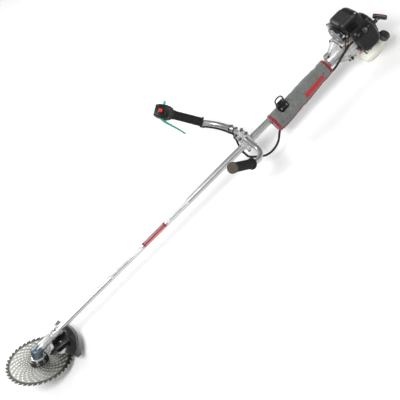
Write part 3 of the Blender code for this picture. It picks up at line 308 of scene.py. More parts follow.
M["rope"] = material("m_rope", [(0.6, 0.58, 0.52), (0.78, 0.76, 0.7)], (0.7, 0.85), 0.0, 500,
    bumps=[("wave", 420, 0.8, 0.0006, {"bands_direction": "DIAGONAL", "Distortion": 0.5})], grime=0.3)
M["copper"] = material("m_copper", [(0.34, 0.15, 0.075), (0.52, 0.27, 0.15)], (0.28, 0.42), 0.85, 200,
    bumps=[("noise", 900, 0.2, 0.0003)], grime=0.35, grime_scale=90)
M["brass"] = material("m_brass", [(0.52, 0.36, 0.12), (0.72, 0.54, 0.22)], (0.25, 0.4), 0.9, 200,
    bumps=[("noise", 900, 0.15, 0.0003)], grime=0.3, grime_scale=90)
for key, cols in (("sticker", [(0.58, 0.59, 0.59), (0.7, 0.71, 0.71)]),
        ("sticker_red", [(0.24, 0.012, 0.02), (0.36, 0.022, 0.03)]),
        ("sticker_grey", [(0.1, 0.1, 0.105), (0.17, 0.17, 0.175)])):
    M[key] = material("m_" + key, cols, (0.3, 0.42), 0.0, 80, coat=0.3, bumps=[("noise", 700, 0.08, 0.0002)],
        grime=0.2)


def blade_look(nt, co, col, r):
    """Ground plate: fine circular lay, brown heat and resin tint near the rim."""
    d = nt.nodes.new("ShaderNodeVectorMath")
    d.operation = "LENGTH"
    nt.links.new(mapped(nt, co, (1, 1, 0)), d.inputs[0])
    rim = rng(nt, d.outputs["Value"], 0.11, 0.1112, 0.0, 1.0)
    hub = rng(nt, d.outputs["Value"], 0.034, 0.07, 0.4, 0.0)
    w = math2(nt, "MAXIMUM", rim, hub)
    return mix(nt, w, col, (0.085, 0.085, 0.07)), math2(nt, "ADD", r, math2(nt, "MULTIPLY", rim, 0.12))


M["blade"] = material("m_blade", [(0.27, 0.273, 0.245), (0.39, 0.395, 0.36), (0.33, 0.335, 0.3)],
    (0.26, 0.38), 0.95, 40, bumps=[("wave", 260, 0.012, 0.0002,
    {"wave_type": "RINGS", "rings_direction": "Z", "Distortion": 0.4}), ("noise", 60, 0.1, 0.001)],
    grime=0.35, grime_scale=24, extra=blade_look)
M["carbide"] = material("m_carbide", [(0.12, 0.12, 0.105), (0.22, 0.22, 0.2)], (0.3, 0.45), 0.95, 300,
    bumps=[("noise", 1500, 0.2, 0.0002)], grime=0.2)


# ---- mesh building
def soften(o, width, segments, angle):
    b = o.modifiers.new("bevel", "BEVEL")
    b.width, b.segments, b.limit_method, b.angle_limit = width, segments, "ANGLE", radians(angle)
    b.harden_normals = True
    return b


class Kit:
    """Collects surfaces of one material and makes them one piece."""

    def __init__(self):
        self.bm = bmesh.new()

    def loops(self, loops, m=None, closed=True, caps=True):
        m = m or Matrix.Identity(4)
        rows = [[self.bm.verts.new(m @ Vector(p)) for p in loop] for loop in loops]
        n = len(rows[0])
        for a, b in zip(rows, rows[1:]):
            for i in range(n if closed else n - 1):
                j = (i + 1) % n
                self.bm.faces.new((a[i], a[j], b[j], b[i]))
        if caps and closed:
            self.bm.faces.new(rows[0][::-1])
            self.bm.faces.new(rows[-1])
        return self

    def lathe(self, prof, m, n=48, flute=None, unit=0.001):
        """prof is (radius, height) pairs about local Z, in mm; flute(angle, height) scales the radius."""
        rows = []
        for r, h in prof:
            r, h = max(r * unit, 1e-5), h * unit
            rows.append([polar(r * (flute(a, h) if flute else 1), a, h) for a in turn(n)])
        return self.loops(rows, m)

    def sweep(self, pts, r, n=12, ends=True, flat=1.0, up=None):
        """Tube along points; r is a number or a function of the point's index."""
        pts = [Vector(p) for p in pts]
        d = (pts[1] - pts[0]).normalized()
        u = Vector(up) if up is not None else (Z if abs(d.z) < 0.8 else X)
        u = (u - d * u.dot(d)).normalized()
        rows = []
        for i, p in enumerate(pts):
            d = (pts[min(i + 1, len(pts) - 1)] - pts[max(i - 1, 0)]).normalized()
            u = (u - d * u.dot(d)).normalized()
            v = d.cross(u)
            rr = r(i) if callable(r) else r
            rows.append([p + u * rr * cos(a) + v * rr * flat * sin(a) for a in turn(n)])
        return self.loops(rows, None, True, ends)

    def ring(self, pts, r, n=10, flat=1.0):
        """Closed tube through points."""
        pts = [Vector(p) for p in pts]
        c = sum(pts, Vector()) / len(pts)
        rows = []
        for i, p in enumerate(pts):
            d = (pts[(i + 1) % len(pts)] - pts[i - 1]).normalized()
            u = (p - c - d * (p - c).dot(d)).normalized()
            v = d.cross(u)
            rows.append([self.bm.verts.new(p + u * r * cos(a) + v * r * flat * sin(a)) for a in turn(n)])
        for i in range(len(rows)):
            a, b = rows[i], rows[(i + 1) % len(rows)]
            for k in range(n):
                self.bm.faces.new((a[k], a[(k + 1) % n], b[(k + 1) % n], b[k]))
        return self

    def box(self, lo, hi, m, r=0.0008, seg=2):
        b = bmesh.new()
        bmesh.ops.create_cube(b, size=1.0)
        for v in b.verts:
            v.co = Vector([(lo[k] + hi[k]) / 2 + v.co[k] * (hi[k] - lo[k]) for k in range(3)])
        r = min(r, 0.45 * min(hi[k] - lo[k] for k in range(3)))
        bmesh.ops.bevel(b, geom=list(b.edges), offset=r, segments=seg, affect="EDGES", profile=0.5)
        b.transform(m)
        me = bpy.data.meshes.new("t")
        b.to_mesh(me)
        self.bm.from_mesh(me)
        bpy.data.meshes.remove(me)
        b.free()
        return self

    def screw(self, at, d, r=0.0038, h=0.0032, kind="hex", washer=True):
        """Small fastener seen from outside: washer, and a plain hex head or a round head with a round socket.
        """
        m = axes(Vector(at), d)
        if washer:
            self.lathe([(0, 0), (r * 1.45, 0), (r * 1.5, 0.0003), (r * 1.45, 0.0009), (0, 0.0009)], m, 24,
                unit=1)
        if kind == "hex":
            sizes = (0.96, 0.0009), (1.0, 0.0013), (1.0, h), (0.86, h + 0.0005)
            self.loops([[polar(r * k, a, hh) for a in turn(6)] for k, hh in sizes], m)
        else:
            self.lathe([(0, 0.0008), (r, 0.0008), (r * 1.02, 0.0014), (r * 0.98, h * 0.8), (r * 0.86, h),
                (r * 0.5, h), (r * 0.48, h * 0.45), (0, h * 0.42)], m, 24, unit=1)
        return self

    def done(self, name, mat, body="machine", replaces=(), angle=38, matrix=None, bevel=0.0,
            thick=None):
        """Make the piece with its finish and body, hide the CAD parts it replaces, and start an empty one."""
        if matrix is not None:
            self.bm.transform(matrix.inverted())
        bmesh.ops.recalc_face_normals(self.bm, faces=list(self.bm.faces))
        me = bpy.data.meshes.new(name)
        self.bm.to_mesh(me)
        self.bm.free()
        self.bm = bmesh.new()
        me.shade_smooth()
        me.set_sharp_from_angle(angle=radians(angle))
        o = bpy.data.objects.new(name, me)
        link(o)
        if matrix is not None:
            o.matrix_world = matrix
        o.data.materials.append(M[mat])
        if bevel:
            soften(o, bevel, 2, 35)
        if thick:
            q = o.modifiers.new("thick", "SOLIDIFY")
            q.thickness, q.offset = thick
        if body:
            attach(o, body)
        if replaces:
            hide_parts(*replaces)
        return o


def smooth_path(points, per_span):
    pts = [Vector(p) for p in points]
    out = []
    for i in range(len(pts) - 1):
        p0, p1, p2, p3 = pts[max(i - 1, 0)], pts[i], pts[i + 1], pts[min(i + 2, len(pts) - 1)]
        for k in range(per_span):
            t = k / per_span
            out.append(0.5 * ((2 * p1) + (-p0 + p2) * t + (2 * p0 - 5 * p1 + 4 * p2 - p3) * t * t
                + (-p0 + 3 * p1 - 3 * p2 + p3) * t ** 3))
    out.append(pts[-1])
    return out


def resample(pts, step):
    out, left = [pts[0].copy()], step
    for a, b in zip(pts, pts[1:]):
        d = (b - a).length
        while left <= d:
            out.append(a.lerp(b, left / d))
            left += step
        left -= d
    if (out[-1] - pts[-1]).length > step * 0.4:
        out.append(pts[-1].copy())
    return out


def refine(nodes, mat, bevel=0.0005, angle=30, seg=2):
    """Keep CAD parts' shapes: weld, soften their edges, shade their curves smooth, and give them a finish."""
    for node in nodes.split():
        refine_one(N[node], mat, bevel, angle, seg)


def refine_one(o, mat, bevel, angle, seg):
    me = o.data
    if "custom_normal" in me.attributes:
        me.attributes.remove(me.attributes["custom_normal"])
    me.shade_smooth()
    w = o.modifiers.new("weld", "WELD")
    w.merge_threshold = 0.00002
    d = o.modifiers.new("flat", "DECIMATE")
    d.decimate_type, d.angle_limit = "DISSOLVE", radians(0.6)
    soften(o, bevel, seg, angle).use_clamp_overlap = True
    for sl in o.material_slots:
        sl.material = M[mat]


kit = Kit()


# ---- floor, light and camera
floor = bpy.data.meshes.new("floor")
floor.from_pydata([(-8, -8, 0), (8, -8, 0), (8, 8, 0), (-8, 8, 0)], [], [(0, 1, 2, 3)])
floor = bpy.data.objects.new("floor", floor)
floor.location.z = -0.0006    # just clear of the lowest faces
link(floor)
floor.data.materials.append(material("m_floor", [(0.86, 0.86, 0.86), (0.89, 0.89, 0.89)], (0.7, 0.8), 0.0, 4,
    bumps=[("noise", 300, 0.03, 0.0004)], grime=0.0))


def area(name, loc, target, size, watts, colour=(1, 1, 1)):
    l = bpy.data.lights.new(name, "AREA")
    l.shape, l.size, l.energy, l.color = "DISK", size, watts, colour
    o = bpy.data.objects.new(name, l)
    o.matrix_world = axes(Vector(loc), Vector(loc) - Vector(target))
    link(o)


area("key", (-0.9, -1.6, 2.8), (0, 0, 0), 1.5, 88)
area("rim", (-0.9, 2.6, 2.2), (0, 0, 0.1), 2.0, 72)
area("fill", (2.2, -1.4, 1.6), (0.2, 0, 0.1), 1.6, 26)
world = bpy.data.worlds.new("studio")
world.use_nodes = True
bg = world.node_tree.nodes["Background"]
bg.inputs["Color"].default_value = (1, 1, 1, 1)
bg.inputs["Strength"].default_value = 0.33
bpy.context.scene.world = world
bpy.context.scene.view_settings.view_transform = "Standard"

R = Vector((0.7102, -0.4332, -0.5546))
R = (R - VIEW * R.dot(VIEW)).normalized()
U = VIEW.cross(R)
cam = bpy.data.cameras.new("camera")
cam.lens, cam.sensor_width, cam.clip_end = 74.43, 36.0, 60.0
camera = bpy.data.objects.new("camera", cam)
aim = P(810, -14.8, -18.9) + R * 0.0022 - U * 0.0026
m = Matrix((R, U, VIEW)).transposed().to_4x4()
m.translation = aim + VIEW * 3.0
camera.matrix_world = m
link(camera)
bpy.context.scene.camera = camera

# ---- cutting head
DROP, TEETH, SPIRALS, PER_SPIRAL = 0.043, 40, 26, 8    # the blade hangs DROP below the neck's axis
blade_m = HEAD @ Matrix.Translation((0, 0, -DROP))


def blade_outline():
    out = []
    for k in range(TEETH):
        a0 = -tau * k / TEETH
        for f, r in ((0.0, 0.1188), (0.05, 0.118), (0.13, 0.118), (0.21, 0.1196), (0.3, 0.1222),
                (0.42, 0.124), (0.6, 0.125), (0.8, 0.1258), (0.9, 0.1262), (0.955, 0.1262), (0.975, 0.124),
                (0.985, 0.1205)):
            out.append(polar(r, a0 - tau / TEETH * f).xy)
    return out


def blade_holes():
    holes = [[polar(0.0128, -a).xy for a in turn(36)]]
    for k in range(SPIRALS):
        for j in range(PER_SPIRAL):
            u = j / (PER_SPIRAL - 1)
            r = 0.04 + 0.0635 * u
            a = tau * (k / SPIRALS) + 0.3 * u * 2.2
            ln, wd = 0.0029 + 0.0036 * u, 0.0021 + 0.0018 * u
            tilt = Matrix.Rotation(a + radians(62), 2)
            holes.append([polar(r, a).xy + tilt @ Vector((ln * cos(t), -wd * sin(t))) for t in turn(10)])
    return holes


flat, edges, owner = [], [], []
for k, loop in enumerate([blade_outline(), *blade_holes()]):
    edges += [(len(flat) + i, len(flat) + (i + 1) % len(loop)) for i in range(len(loop))]
    flat += loop
    owner += [k] * len(loop)
INSIDE = 1     # keep only triangles inside the outlines
flat, _, faces, source, *_ = delaunay_2d_cdt(flat, edges, [], INSIDE, 1e-7)
verts = [kit.bm.verts.new((p.x, p.y, -0.0007)) for p in flat]
for face in faces:
    outlines = {owner[source[i][0]] for i in face}
    if len(outlines) > 1 or 0 in outlines:     # else it fills a hole
        kit.bm.faces.new([verts[i] for i in face])
made = bmesh.ops.extrude_face_region(kit.bm, geom=list(kit.bm.faces))
bmesh.ops.translate(kit.bm, vec=(0, 0, 0.0014), verts=[g for g in made["geom"]
    if isinstance(g, bmesh.types.BMVert)])
kit.bm.transform(blade_m)
kit.done("blade_plate", "blade", "cutter", replaces=["saw_blade"], matrix=blade_m)
for a in turn(TEETH, -tau / TEETH * 0.945):
    kit.box((0.1186, -0.001, -0.001), (0.1274, 0.0012, 0.001), blade_m @ Matrix.Rotation(a, 4, "Z"), 0.0002,
        1)
kit.done("blade_tips", "carbide", "cutter", matrix=blade_m)

kit.lathe([(6.6, -30), (29.6, -30), (32.2, -30.3), (34, -31.1), (35.4, -32.1), (36.1, -33.4), (36.2, -35.2),
    (35.7, -35.6), (35.7, -36.1), (36.2, -36.5), (36.2, -39.2), (35.7, -40.6), (34.6, -41.8), (12.5, -41.9),
    (12.4, -43.6), (6.6, -43.6)], HEAD, 72)
kit.done("blade_holder_body", "gloss", "cutter", replaces=["blade_holder"])
for a in turn(6):
    kit.lathe([(0, -30.2), (2.6, -30.2), (2.6, -29.6), (0, -29.6)],
        HEAD @ Matrix.Translation(polar(0.0272, a)), 16)
kit.done("blade_holder_pins", "steel", "cutter")
kit.lathe([(6.6, -44.1), (26.8, -44.1), (28.2, -44.8), (28.6, -45.6), (28.4, -47), (26.2, -48.6), (23, -50),
    (6.6, -50)], HEAD, 64)
kit.done("lower_flange_body", "dark", "cutter", replaces=["lower_flange"])

refine("gear_case", "gear", 0.0006, 32)
refine("gear_clamp_bolt", "steel", 0.0004)
refine("blade_nut output_spindle crown_gear pinion input_bearing output_bearing drive_shaft",
    "steel", 0.0003)
for a in turn(3, 1.2):
    kit.screw(HEAD @ polar(0.0226, a, -0.0243), N_HEAD, 0.0021, 0.0022, "pan", False)
kit.screw(HEAD @ Vector((-0.0155, 0, 0.0095)), (N_HEAD - T_HEAD * 1.1), 0.004, 0.0034, "hex")
kit.screw(P(45.5, -15, 3.5), (0, -1, 0.2), 0.003, 0.0024, "hex", False)
kit.done("gear_screws", "steel")
for s_at, r in ((0.03, 0.0176), (0.0345, 0.0171), (0.085, 0.0166)):
    kit.lathe([(r - 0.002, s_at - 0.0014), (r, s_at - 0.001), (r, s_at + 0.001), (r - 0.002, s_at + 0.0014)],
        SHAFT, 56, unit=1)
for a in turn(4, pi / 4):
    kit.sweep([around(0.036 + 0.006 * i, 0.0146 * (1 + 0.1 * sin(pi * i / 8)), a) for i in range(9)], 0.0019,
        8)
kit.done("gear_ribs", "gear")
kit.loops([[P(109, y, 10.5), P(126, y, 10.5), P(124, y, -4), P(112, y, -12)] for y in (-16.5, -19.5)])
kit.done("guard_stay", "cast", bevel=0.0006)
wing = ((52, 22, -20), (72, 34, -17), (92, 45, -14), (100, 47, -13), (109, 43, -13), (113, 30, -15),
    (110, 14, -18), (60, 12, -21))
kit.loops([[P(s, y, z + dz) for s, y, z in wing] for dz in (-3, 0)])
kit.done("guard_wing", "gloss", bevel=0.0008)

# ---- debris guard: one smooth moulding
G_FROM, G_TO, G_T = -44.0, 40.0, 0.003


def guard_out(phi):
    """Direction away from the blade's axis, phi degrees round from the shaft."""
    return T_HEAD * cos(radians(phi)) + Y * sin(radians(phi))


def guard_top(phi):
    """Upper edge of the guard's section at phi degrees, as (radius, height)."""
    c = max(0.0, cos(radians(phi) * 2.0))
    lip = -0.0249 + 0.0215 * max(0.0, (abs(phi) - 20.0) / 24.0) ** 1.4
    pts = [(0.054, -0.006), (0.076, -0.0018 + 0.0052 * c), (0.098, 0.004 + 0.012 * c),
        (0.116, 0.0082 + 0.0172 * c), (0.134, 0.0098 + 0.0176 * c), (0.15, 0.0084 + 0.0128 * c),
        (0.16, 0.0034 + 0.003 * c), (0.165, -0.0075), (0.1668, -0.016), (0.167, lip)]
    edge = min(phi - G_FROM, G_TO - phi)
    f = sqrt(max(0.0, 1 - (1 - min(1.0, edge / 11.0)) ** 2)) if edge < 11 else 1.0
    f = 0.1 + 0.9 * f
    out = []
    for r, w in pts:
        if r > 0.16:
            w = 0.0034 + (w - 0.0034) * f
            r = 0.16 + (r - 0.16) * f
        out.append(Vector((r, w, 0)))
    return smooth_path(out, 3)


loops = []
for i in range(57):
    phi = G_FROM + (G_TO - G_FROM) * i / 56
    top = guard_top(phi)
    out = guard_out(phi)
    under = []
    for k, p in enumerate(top):
        d = (top[min(k + 1, len(top) - 1)] - top[max(k - 1, 0)]).normalized()
        under.append(p + Vector((d.y, -d.x, 0)) * G_T)
    loops.append([S(0) + out * q.x + N_HEAD * q.y for q in top + under[::-1]])
kit.loops(loops)
kit.done("guard_shell", "gloss", replaces=["debris_guard"], angle=50)
for phi, r0, r1 in ((-30, 0.066, 0.126), (-15, 0.066, 0.132), (0, 0.07, 0.134), (15, 0.066, 0.132),
        (30, 0.066, 0.126)):
    top = [p for p in guard_top(phi) if r0 <= p.x <= r1]
    out = guard_out(phi)
    kit.sweep([S(0) + out * p.x + N_HEAD * (p.y + 0.0002) for p in top], 0.0013, 8)
for radius in (0.124, 0.156):
    line = []
    for i in range(49):
        phi = G_FROM + 2 + (G_TO - G_FROM - 4) * i / 48
        p = min(guard_top(phi), key=lambda q: abs(q.x - radius))
        line.append(S(0) + guard_out(phi) * p.x + N_HEAD * (p.y + 0.0001))
    kit.sweep(line, 0.0011, 8)
kit.done("guard_ribs", "gloss")
refine("guard_bracket", "black", 0.0006)
for y_at in (0.037, -0.037):
    kit.screw(S(0.093, y_at, -0.0206), Z, 0.0048, 0.0044, "hex")
kit.done("guard_bolts", "steel")

# ---- shaft tube, its plain bands
refine("main_tube", "tube", 0.0004)


TUBE_R = 0.013


def band(name, s0, s1, mid, half, mat, lift=0.00018):
    """Thin wrap on the tube between two stations, half radians either side of mid."""
    rows = []
    for i in range(29):
        a = mid - half + 2 * half * i / 28
        rows.append([around(s0 + (s1 - s0) * k / 12, TUBE_R + lift, a) for k in range(13)])
    kit.loops(rows, None, False, False)
    kit.done(name, mat, "machine", thick=(0.0002, 0.0))


A_VIEW = atan2(VIEW.z, VIEW.y)
band("band_lower", 0.382, 0.54, A_VIEW, 0.72, "sticker")
band("band_red", 0.548, 0.66, A_VIEW, 0.8, "sticker_red")
band("band_upper", 0.668, 0.776, A_VIEW, 0.72, "sticker")
for k, (s0, s1, off, w) in enumerate(((0.392, 0.5, 0.3, 0.07), (0.392, 0.468, 0.06, 0.05),
        (0.392, 0.486, -0.18, 0.05), (0.68, 0.764, 0.26, 0.07), (0.68, 0.742, 0.02, 0.05),
        (0.556, 0.652, 0.52, 0.045), (0.556, 0.652, -0.52, 0.045))):
    band(f"stripe_{k}", s0, s1, A_VIEW + off, w, "sticker" if k > 4 else "sticker_grey", 0.00034)
refine("shaft_bush_1 shaft_bush_2", "rubber", 0.0003)

# ---- handle bracket and bar
_lo, _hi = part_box("handle_bracket_base")
BRACKET_S = (_lo.x + _hi.x) / 2 - AX
BAR_O = Vector(JOINTS["handlebar_tilt"]["pos_m"])
refine("handle_bracket_base handle_bracket_middle", "cast", 0.001, 32)
refine("handle_bracket_cap", "cast", 0.0008, 32)
CAP_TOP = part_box("handle_bracket_cap")[1].z
for dx in (-1, 1):
    for dy in (-1, 1):
        kit.screw(S(BRACKET_S + dx * 0.015, dy * 0.0174, CAP_TOP - AZ - 0.003), Z, 0.0052, 0.0042, "hex")
        kit.screw(S(BRACKET_S + dx * 0.015, dy * 0.0174, -0.019), -Z, 0.0042, 0.0034, "hex")
kit.done("bracket_bolts", "dark")
for x in (-0.0115, -0.0038, 0.0038, 0.0115):
    kit.box((x - 0.001, -0.0225, 0.0142), (x + 0.001, 0.0225, 0.0158), Matrix.Translation(BAR_O), 0.0006)
for y in (-0.0228, 0.0228):
    kit.box((-0.02, y - 0.0008, -0.029), (0.02, y + 0.0008, -0.026), Matrix.Translation(BAR_O), 0.0006)
for y in (-0.0229, 0.0229):
    kit.box((-0.0085, y - 0.0012, -0.047), (0.0085, y + 0.0012, -0.034), Matrix.Translation(BAR_O), 0.0011)
kit.done("bracket_ribs", "cast")

GRIP_AT = Vector((-0.057, 0.193, 0.038))
GRIP_DIR = Vector((-0.516, 0.443, 0.733)).normalized()
FINGER_SIDE = Vector((-0.814, -0.436, -0.384))
GRIP_LEN = 0.118


def mirror(v, side):
    return Vector((v.x, v.y * side, v.z))


def bar_path(side, per=3):
    pts = [Vector(p) for p in ((0, 0.001, 0), (0, 0.013, 0), (0, 0.025, 0), (0.0005, 0.036, -0.0016),
        (0.002, 0.06, -0.008), (0.003, 0.09, -0.015), (-0.004, 0.12, -0.011), (-0.017, 0.15, 0.001),
        (-0.034, 0.174, 0.016))]
    pts.append(GRIP_AT)
    return smooth_path([BAR_O + mirror(p, side) for p in pts], per)


def grip_axes(side):
    return axes(BAR_O + mirror(GRIP_AT, side), mirror(GRIP_DIR, side), mirror(FINGER_SIDE, side))


GR, GL = grip_axes(1), grip_axes(-1)
for side, label, length in ((1, "right", GRIP_LEN + 0.036), (-1, "left", GRIP_LEN - 0.006)):
    path = bar_path(side, 6)
    path.append(BAR_O + mirror(GRIP_AT + GRIP_DIR * length, side))
    kit.sweep(path, 0.01, 32)
    kit.done(f"bar_{label}", "tube", "handlebar", replaces=[f"handle_bar_{label}"])


def grip_prof(length, closed):
    prof = [(0.0102, 0.0), (0.019, 0.0), (0.0202, 0.001), (0.0205, 0.0026), (0.0203, 0.0044),
        (0.0192, 0.0058), (0.0172, 0.007), (0.0165, 0.009)]
    z = 0.0105
    while z < length - 0.0135:
        prof += [(0.0163, z), (0.0168, z + 0.0007), (0.0169, z + 0.0019), (0.0168, z + 0.0031),
            (0.0163, z + 0.0038)]
        z += 0.005
    if closed:
        prof += [(0.0165, length - 0.01), (0.0186, length - 0.0082), (0.0195, length - 0.006),
            (0.0195, length + 0.003)]
        prof += [(0.0102, length + 0.0035)]
    else:
        prof += [(0.0165, length - 0.0105), (0.0178, length - 0.009), (0.0181, length - 0.007),
            (0.0181, length - 0.0008), (0.0176, length), (0.0102, length)]
    return prof


def flute(a, h):
    """Lengthwise flats between the finger rings."""
    return 1.0 - 0.02 * (0.5 + 0.5 * cos(a * 16)) ** 3 if 0.0095 < h else 1.0


kit.lathe(grip_prof(GRIP_LEN, False), GR, 96, flute, 1)
kit.done("grip_right_body", "rubber", "handlebar", replaces=["grip_right"])
LG = GRIP_LEN + 0.002
kit.lathe(grip_prof(LG, True), GL, 96, flute, 1)
kit.done("grip_left_body", "rubber", "handlebar", replaces=["grip_left"])
kit.lathe([(0, LG + 0.002), (0.0196, LG + 0.002), (0.0198, LG + 0.004), (0.0192, LG + 0.0064),
    (0.0176, LG + 0.0078), (0.015, LG + 0.0083), (0.0146, LG + 0.0076), (0.0118, LG + 0.0076),
    (0.0114, LG + 0.0084), (0.006, LG + 0.0086), (0.0056, LG + 0.0074), (0, LG + 0.0073)], GL, 64, unit=1)
for a in turn(4, 0.4):
    kit.box((0.006, -0.0012, LG + 0.007), (0.0175, 0.0012, LG + 0.0085), GL @ Matrix.Rotation(a, 4, "Z"),
        0.0006)
kit.done("grip_left_end", "cap_end", "handlebar")

# ---- throttle housing, levers, switch
refine("throttle_housing_front throttle_housing_back", "black", 0.0022, 24, seg=3)
SIDE = 1 if (GR.to_3x3() @ Y).dot(VIEW) > 0 else -1    # the housing's face that the switch is on
G = GRIP_LEN
for x, z in ((-0.0165, 0.0125), (0.0165, 0.0125), (-0.015, 0.059), (0.0165, 0.059)):
    top = 0.0178 if z < 0.03 else 0.0172
    kit.screw(GR @ Vector((x, SIDE * top, G + z)), GR.to_3x3() @ (Y * SIDE), 0.0026, 0.0022, "pan", False)
kit.done("housing_screws", "dark", "handlebar")
kit.ring([GR @ Vector((0.0225 * cos(a), 0.0176 * sin(a), G + 0.008)) for a in turn(48)], 0.002, 10)
kit.ring([GR @ Vector((0.01 * cos(a), SIDE * 0.0186, G + 0.0472 + 0.01 * sin(a))) for a in turn(32)], 0.0012,
    8)
for z in (0.025, 0.029):
    kit.sweep([GR @ Vector((-0.013 + 0.026 * i / 8, SIDE * (0.0192 + 0.0012 * sin(pi * i / 8)), G + z))
        for i in range(9)], 0.0013, 8)
kit.done("housing_trim", "gloss", "handlebar")
refine("throttle_trigger", "teal", 0.0009, 20, 3)
refine("lockout_lever", "mint", 0.0009, 20, 3)
kit.box((-0.0425, -0.0066, G + 0.0334), (-0.0305, 0.0066, G + 0.0436), GR, 0.0034, 4)
for z in (0.036, 0.0385, 0.041):
    kit.box((-0.0432, -0.005, G + z - 0.0006), (-0.042, 0.005, G + z + 0.0006), GR, 0.0005)
kit.done("lockout_tab", "mint", "lockout", angle=60)
kit.sweep(smooth_path([GR @ Vector(p) for p in ((0.0275, 0, G + 0.033), (0.0345, 0, G + 0.017),
    (0.04, 0, G - 0.003), (0.0452, 0, G - 0.024), (0.051, 0, G - 0.045), (0.058, 0, G - 0.065))], 8),
    lambda i: 0.0052 - 0.0022 * min(1.0, i / 28), 20, True, 1.25, FINGER_SIDE)
kit.done("trigger_blade", "teal", "trigger", angle=60)
refine("stop_switch", "red", 0.001, 30, seg=3)

# ---- throttle conduit: one corrugated sleeve across the tilt joint
JOINT = BAR_O + Vector((-0.018, 0.048, -0.019))
upper_pts = [GR @ Vector((0.0154, 0, -0.0014))]
curve = [p for p in bar_path(1) if p.y - BAR_O.y > 0.058]
for i in range(len(curve) - 2, 0, -2):
    d = (curve[i - 1] - curve[i + 1]).normalized()
    off = FINGER_SIDE - d * FINGER_SIDE.dot(d)
    upper_pts.append(curve[i] + off.normalized() * 0.0152)
upper_pts += [JOINT + Vector((0, 0.01, 0.001)), JOINT]
lower_pts = [JOINT, JOINT + Vector((-0.005, -0.012, -0.006)), P(1050, 24, -4), P(1045.5, 9, -19),
    P(1045, -8, -24), P(1048, -32, -29), P(1072, -60, -37), P(1096, -76, -44), P(1128, -78, -46),
    P(1160, -64, -45), P(1186, -43, -38), P(1215, -28, -26), P(1260, -21, -18), P(1330, -20, -16.5),
    P(1410, -20, -16.5), P(1450, -24, -17), P(1480, -30, -18), P(1500, -35, -11), P(1522, -40, 1),
    P(1548, -51, 20), P(1574, -57, 31), P(1596, -61, 33.5)]
route = resample(smooth_path(upper_pts, 8) + smooth_path(lower_pts, 8)[1:], 0.00075)
kit.sweep(route, lambda i: 0.0044 if (i // 2) % 2 else 0.0036, 12)
conduit = kit.done("throttle_conduit", "rubber", None, angle=80)
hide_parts("conduit_lower", "conduit_upper")
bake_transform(conduit)
kit.sweep([GR @ Vector((0.0154, 0, -0.0006)), GR @ Vector((0.0154, 0, -0.011))], 0.005, 24)
kit.done("conduit_ferrule", "gloss", "handlebar")
kit.sweep([P(1590, -59.8, 33.3), P(1599, -61.5, 33.6)], 0.0048, 24)
kit.done("conduit_end", "steel")

# two cable ties round the right bar and the conduit, tails left long
TIE_TAIL = Vector((-0.36, 0.57, 0.73)).normalized()
for i, tail in ((2, 0.034), (5, 0.022)):
    c = curve[i]
    d = (curve[i - 1] - curve[i + 1]).normalized()
    off = (FINGER_SIDE - d * FINGER_SIDE.dot(d)).normalized()
    side = d.cross(off)
    loop = []
    for a in turn(40):
        rise, width = (0.009, 0.003 * cos(a)) if cos(a) > 0 else (0, 0)
        loop.append(c + off * (cos(a) * (0.0107 + rise)) + side * sin(a) * (0.0107 - width))
    kit.ring(loop, 0.0011, 8, 1.6)
    head = c - off * 0.0116 + side * 0.002
    kit.box((-0.0024, -0.0024, -0.0016), (0.0024, 0.0024, 0.003), axes(head, -off, side), 0.0006)
    pts = [head + TIE_TAIL * tail * t - Z * 0.006 * t * t for t in [q / 8 for q in range(9)]]
    kit.sweep(pts, lambda i: 0.0011 - 0.00005 * i, 8, True, 0.5)
kit.done("cable_ties", "black", "handlebar")

# ---- hip pad: stuffed fabric, laced edges piped
PAD_A, PAD_B = 1.194, 1.478      # stations of its ends
PAD_BORE, PAD_CORE = 0.018, 0.0185   # radii round the tube that aren't drawn in, and aren't swelled
PAD_INSET, PAD_SWELL = 0.0012, 0.002   # how far the skin is drawn in, and the most the cloth may move it
EYE = Vector(JOINTS["ring_swing"]["pos_m"])
HS, H_TILT = EYE.x - AX, atan2(-(EYE.y - AY), EYE.z - AZ)
HANG = Matrix.Translation(S(0)) @ Matrix.Rotation(H_TILT, 4, "X")
b = bmesh.new()
b.from_mesh(N["hip_pad"].data)
bmesh.ops.remove_doubles(b, verts=b.verts, dist=0.00002)
me = bpy.data.meshes.new("hip_pad_cover")
b.to_mesh(me)
b.free()
pad = bpy.data.objects.new("hip_pad_cover", me)
link(pad)


def apply_all(o):
    dg = bpy.context.evaluated_depsgraph_get()
    new = bpy.data.meshes.new_from_object(o.evaluated_get(dg))
    o.modifiers.clear()
    o.data = new


r = pad.modifiers.new("re", "REMESH")
r.mode, r.voxel_size = "VOXEL", 0.0042
apply_all(pad)


def pad_centre(s):
    u = (s - PAD_A) / (PAD_B - PAD_A)
    return -0.02 + 0.012 * u, -0.01 + 0.008 * u


for v in pad.data.vertices:
    q = v.co
    cy, cz = pad_centre(q.x - AX)
    if hypot(q.y - AY, q.z - AZ) > PAD_BORE:
        v.co = q - Vector((0, q.y - AY - cy, q.z - AZ - cz)).normalized() * PAD_INSET
before = [v.co.copy() for v in pad.data.vertices]
pin = pad.vertex_groups.new(name="pin")
hold = []
for v in pad.data.vertices:
    q = HANG.inverted() @ v.co
    at_end = q.x < PAD_A + 0.004 or q.x > PAD_B - 0.004
    at_clamp = abs(q.x - HS) < 0.024 and q.z > 0.002 and abs(q.y) < 0.026
    if hypot(q.y, q.z) < PAD_CORE or at_end or at_clamp:
        hold.append(v.index)
pin.add(hold, 1.0, "REPLACE")
c = pad.modifiers.new("cloth", "CLOTH")
st = c.settings
st.quality, st.mass = 5, 0.25
st.tension_stiffness, st.compression_stiffness, st.bending_stiffness = 12, 9, 0.35
st.use_pressure, st.uniform_pressure_force = True, 4.0
st.vertex_group_mass = "pin"
st.shrink_min = -0.035
st.effector_weights.gravity = 0
c.collision_settings.use_collision = False
scene = bpy.context.scene
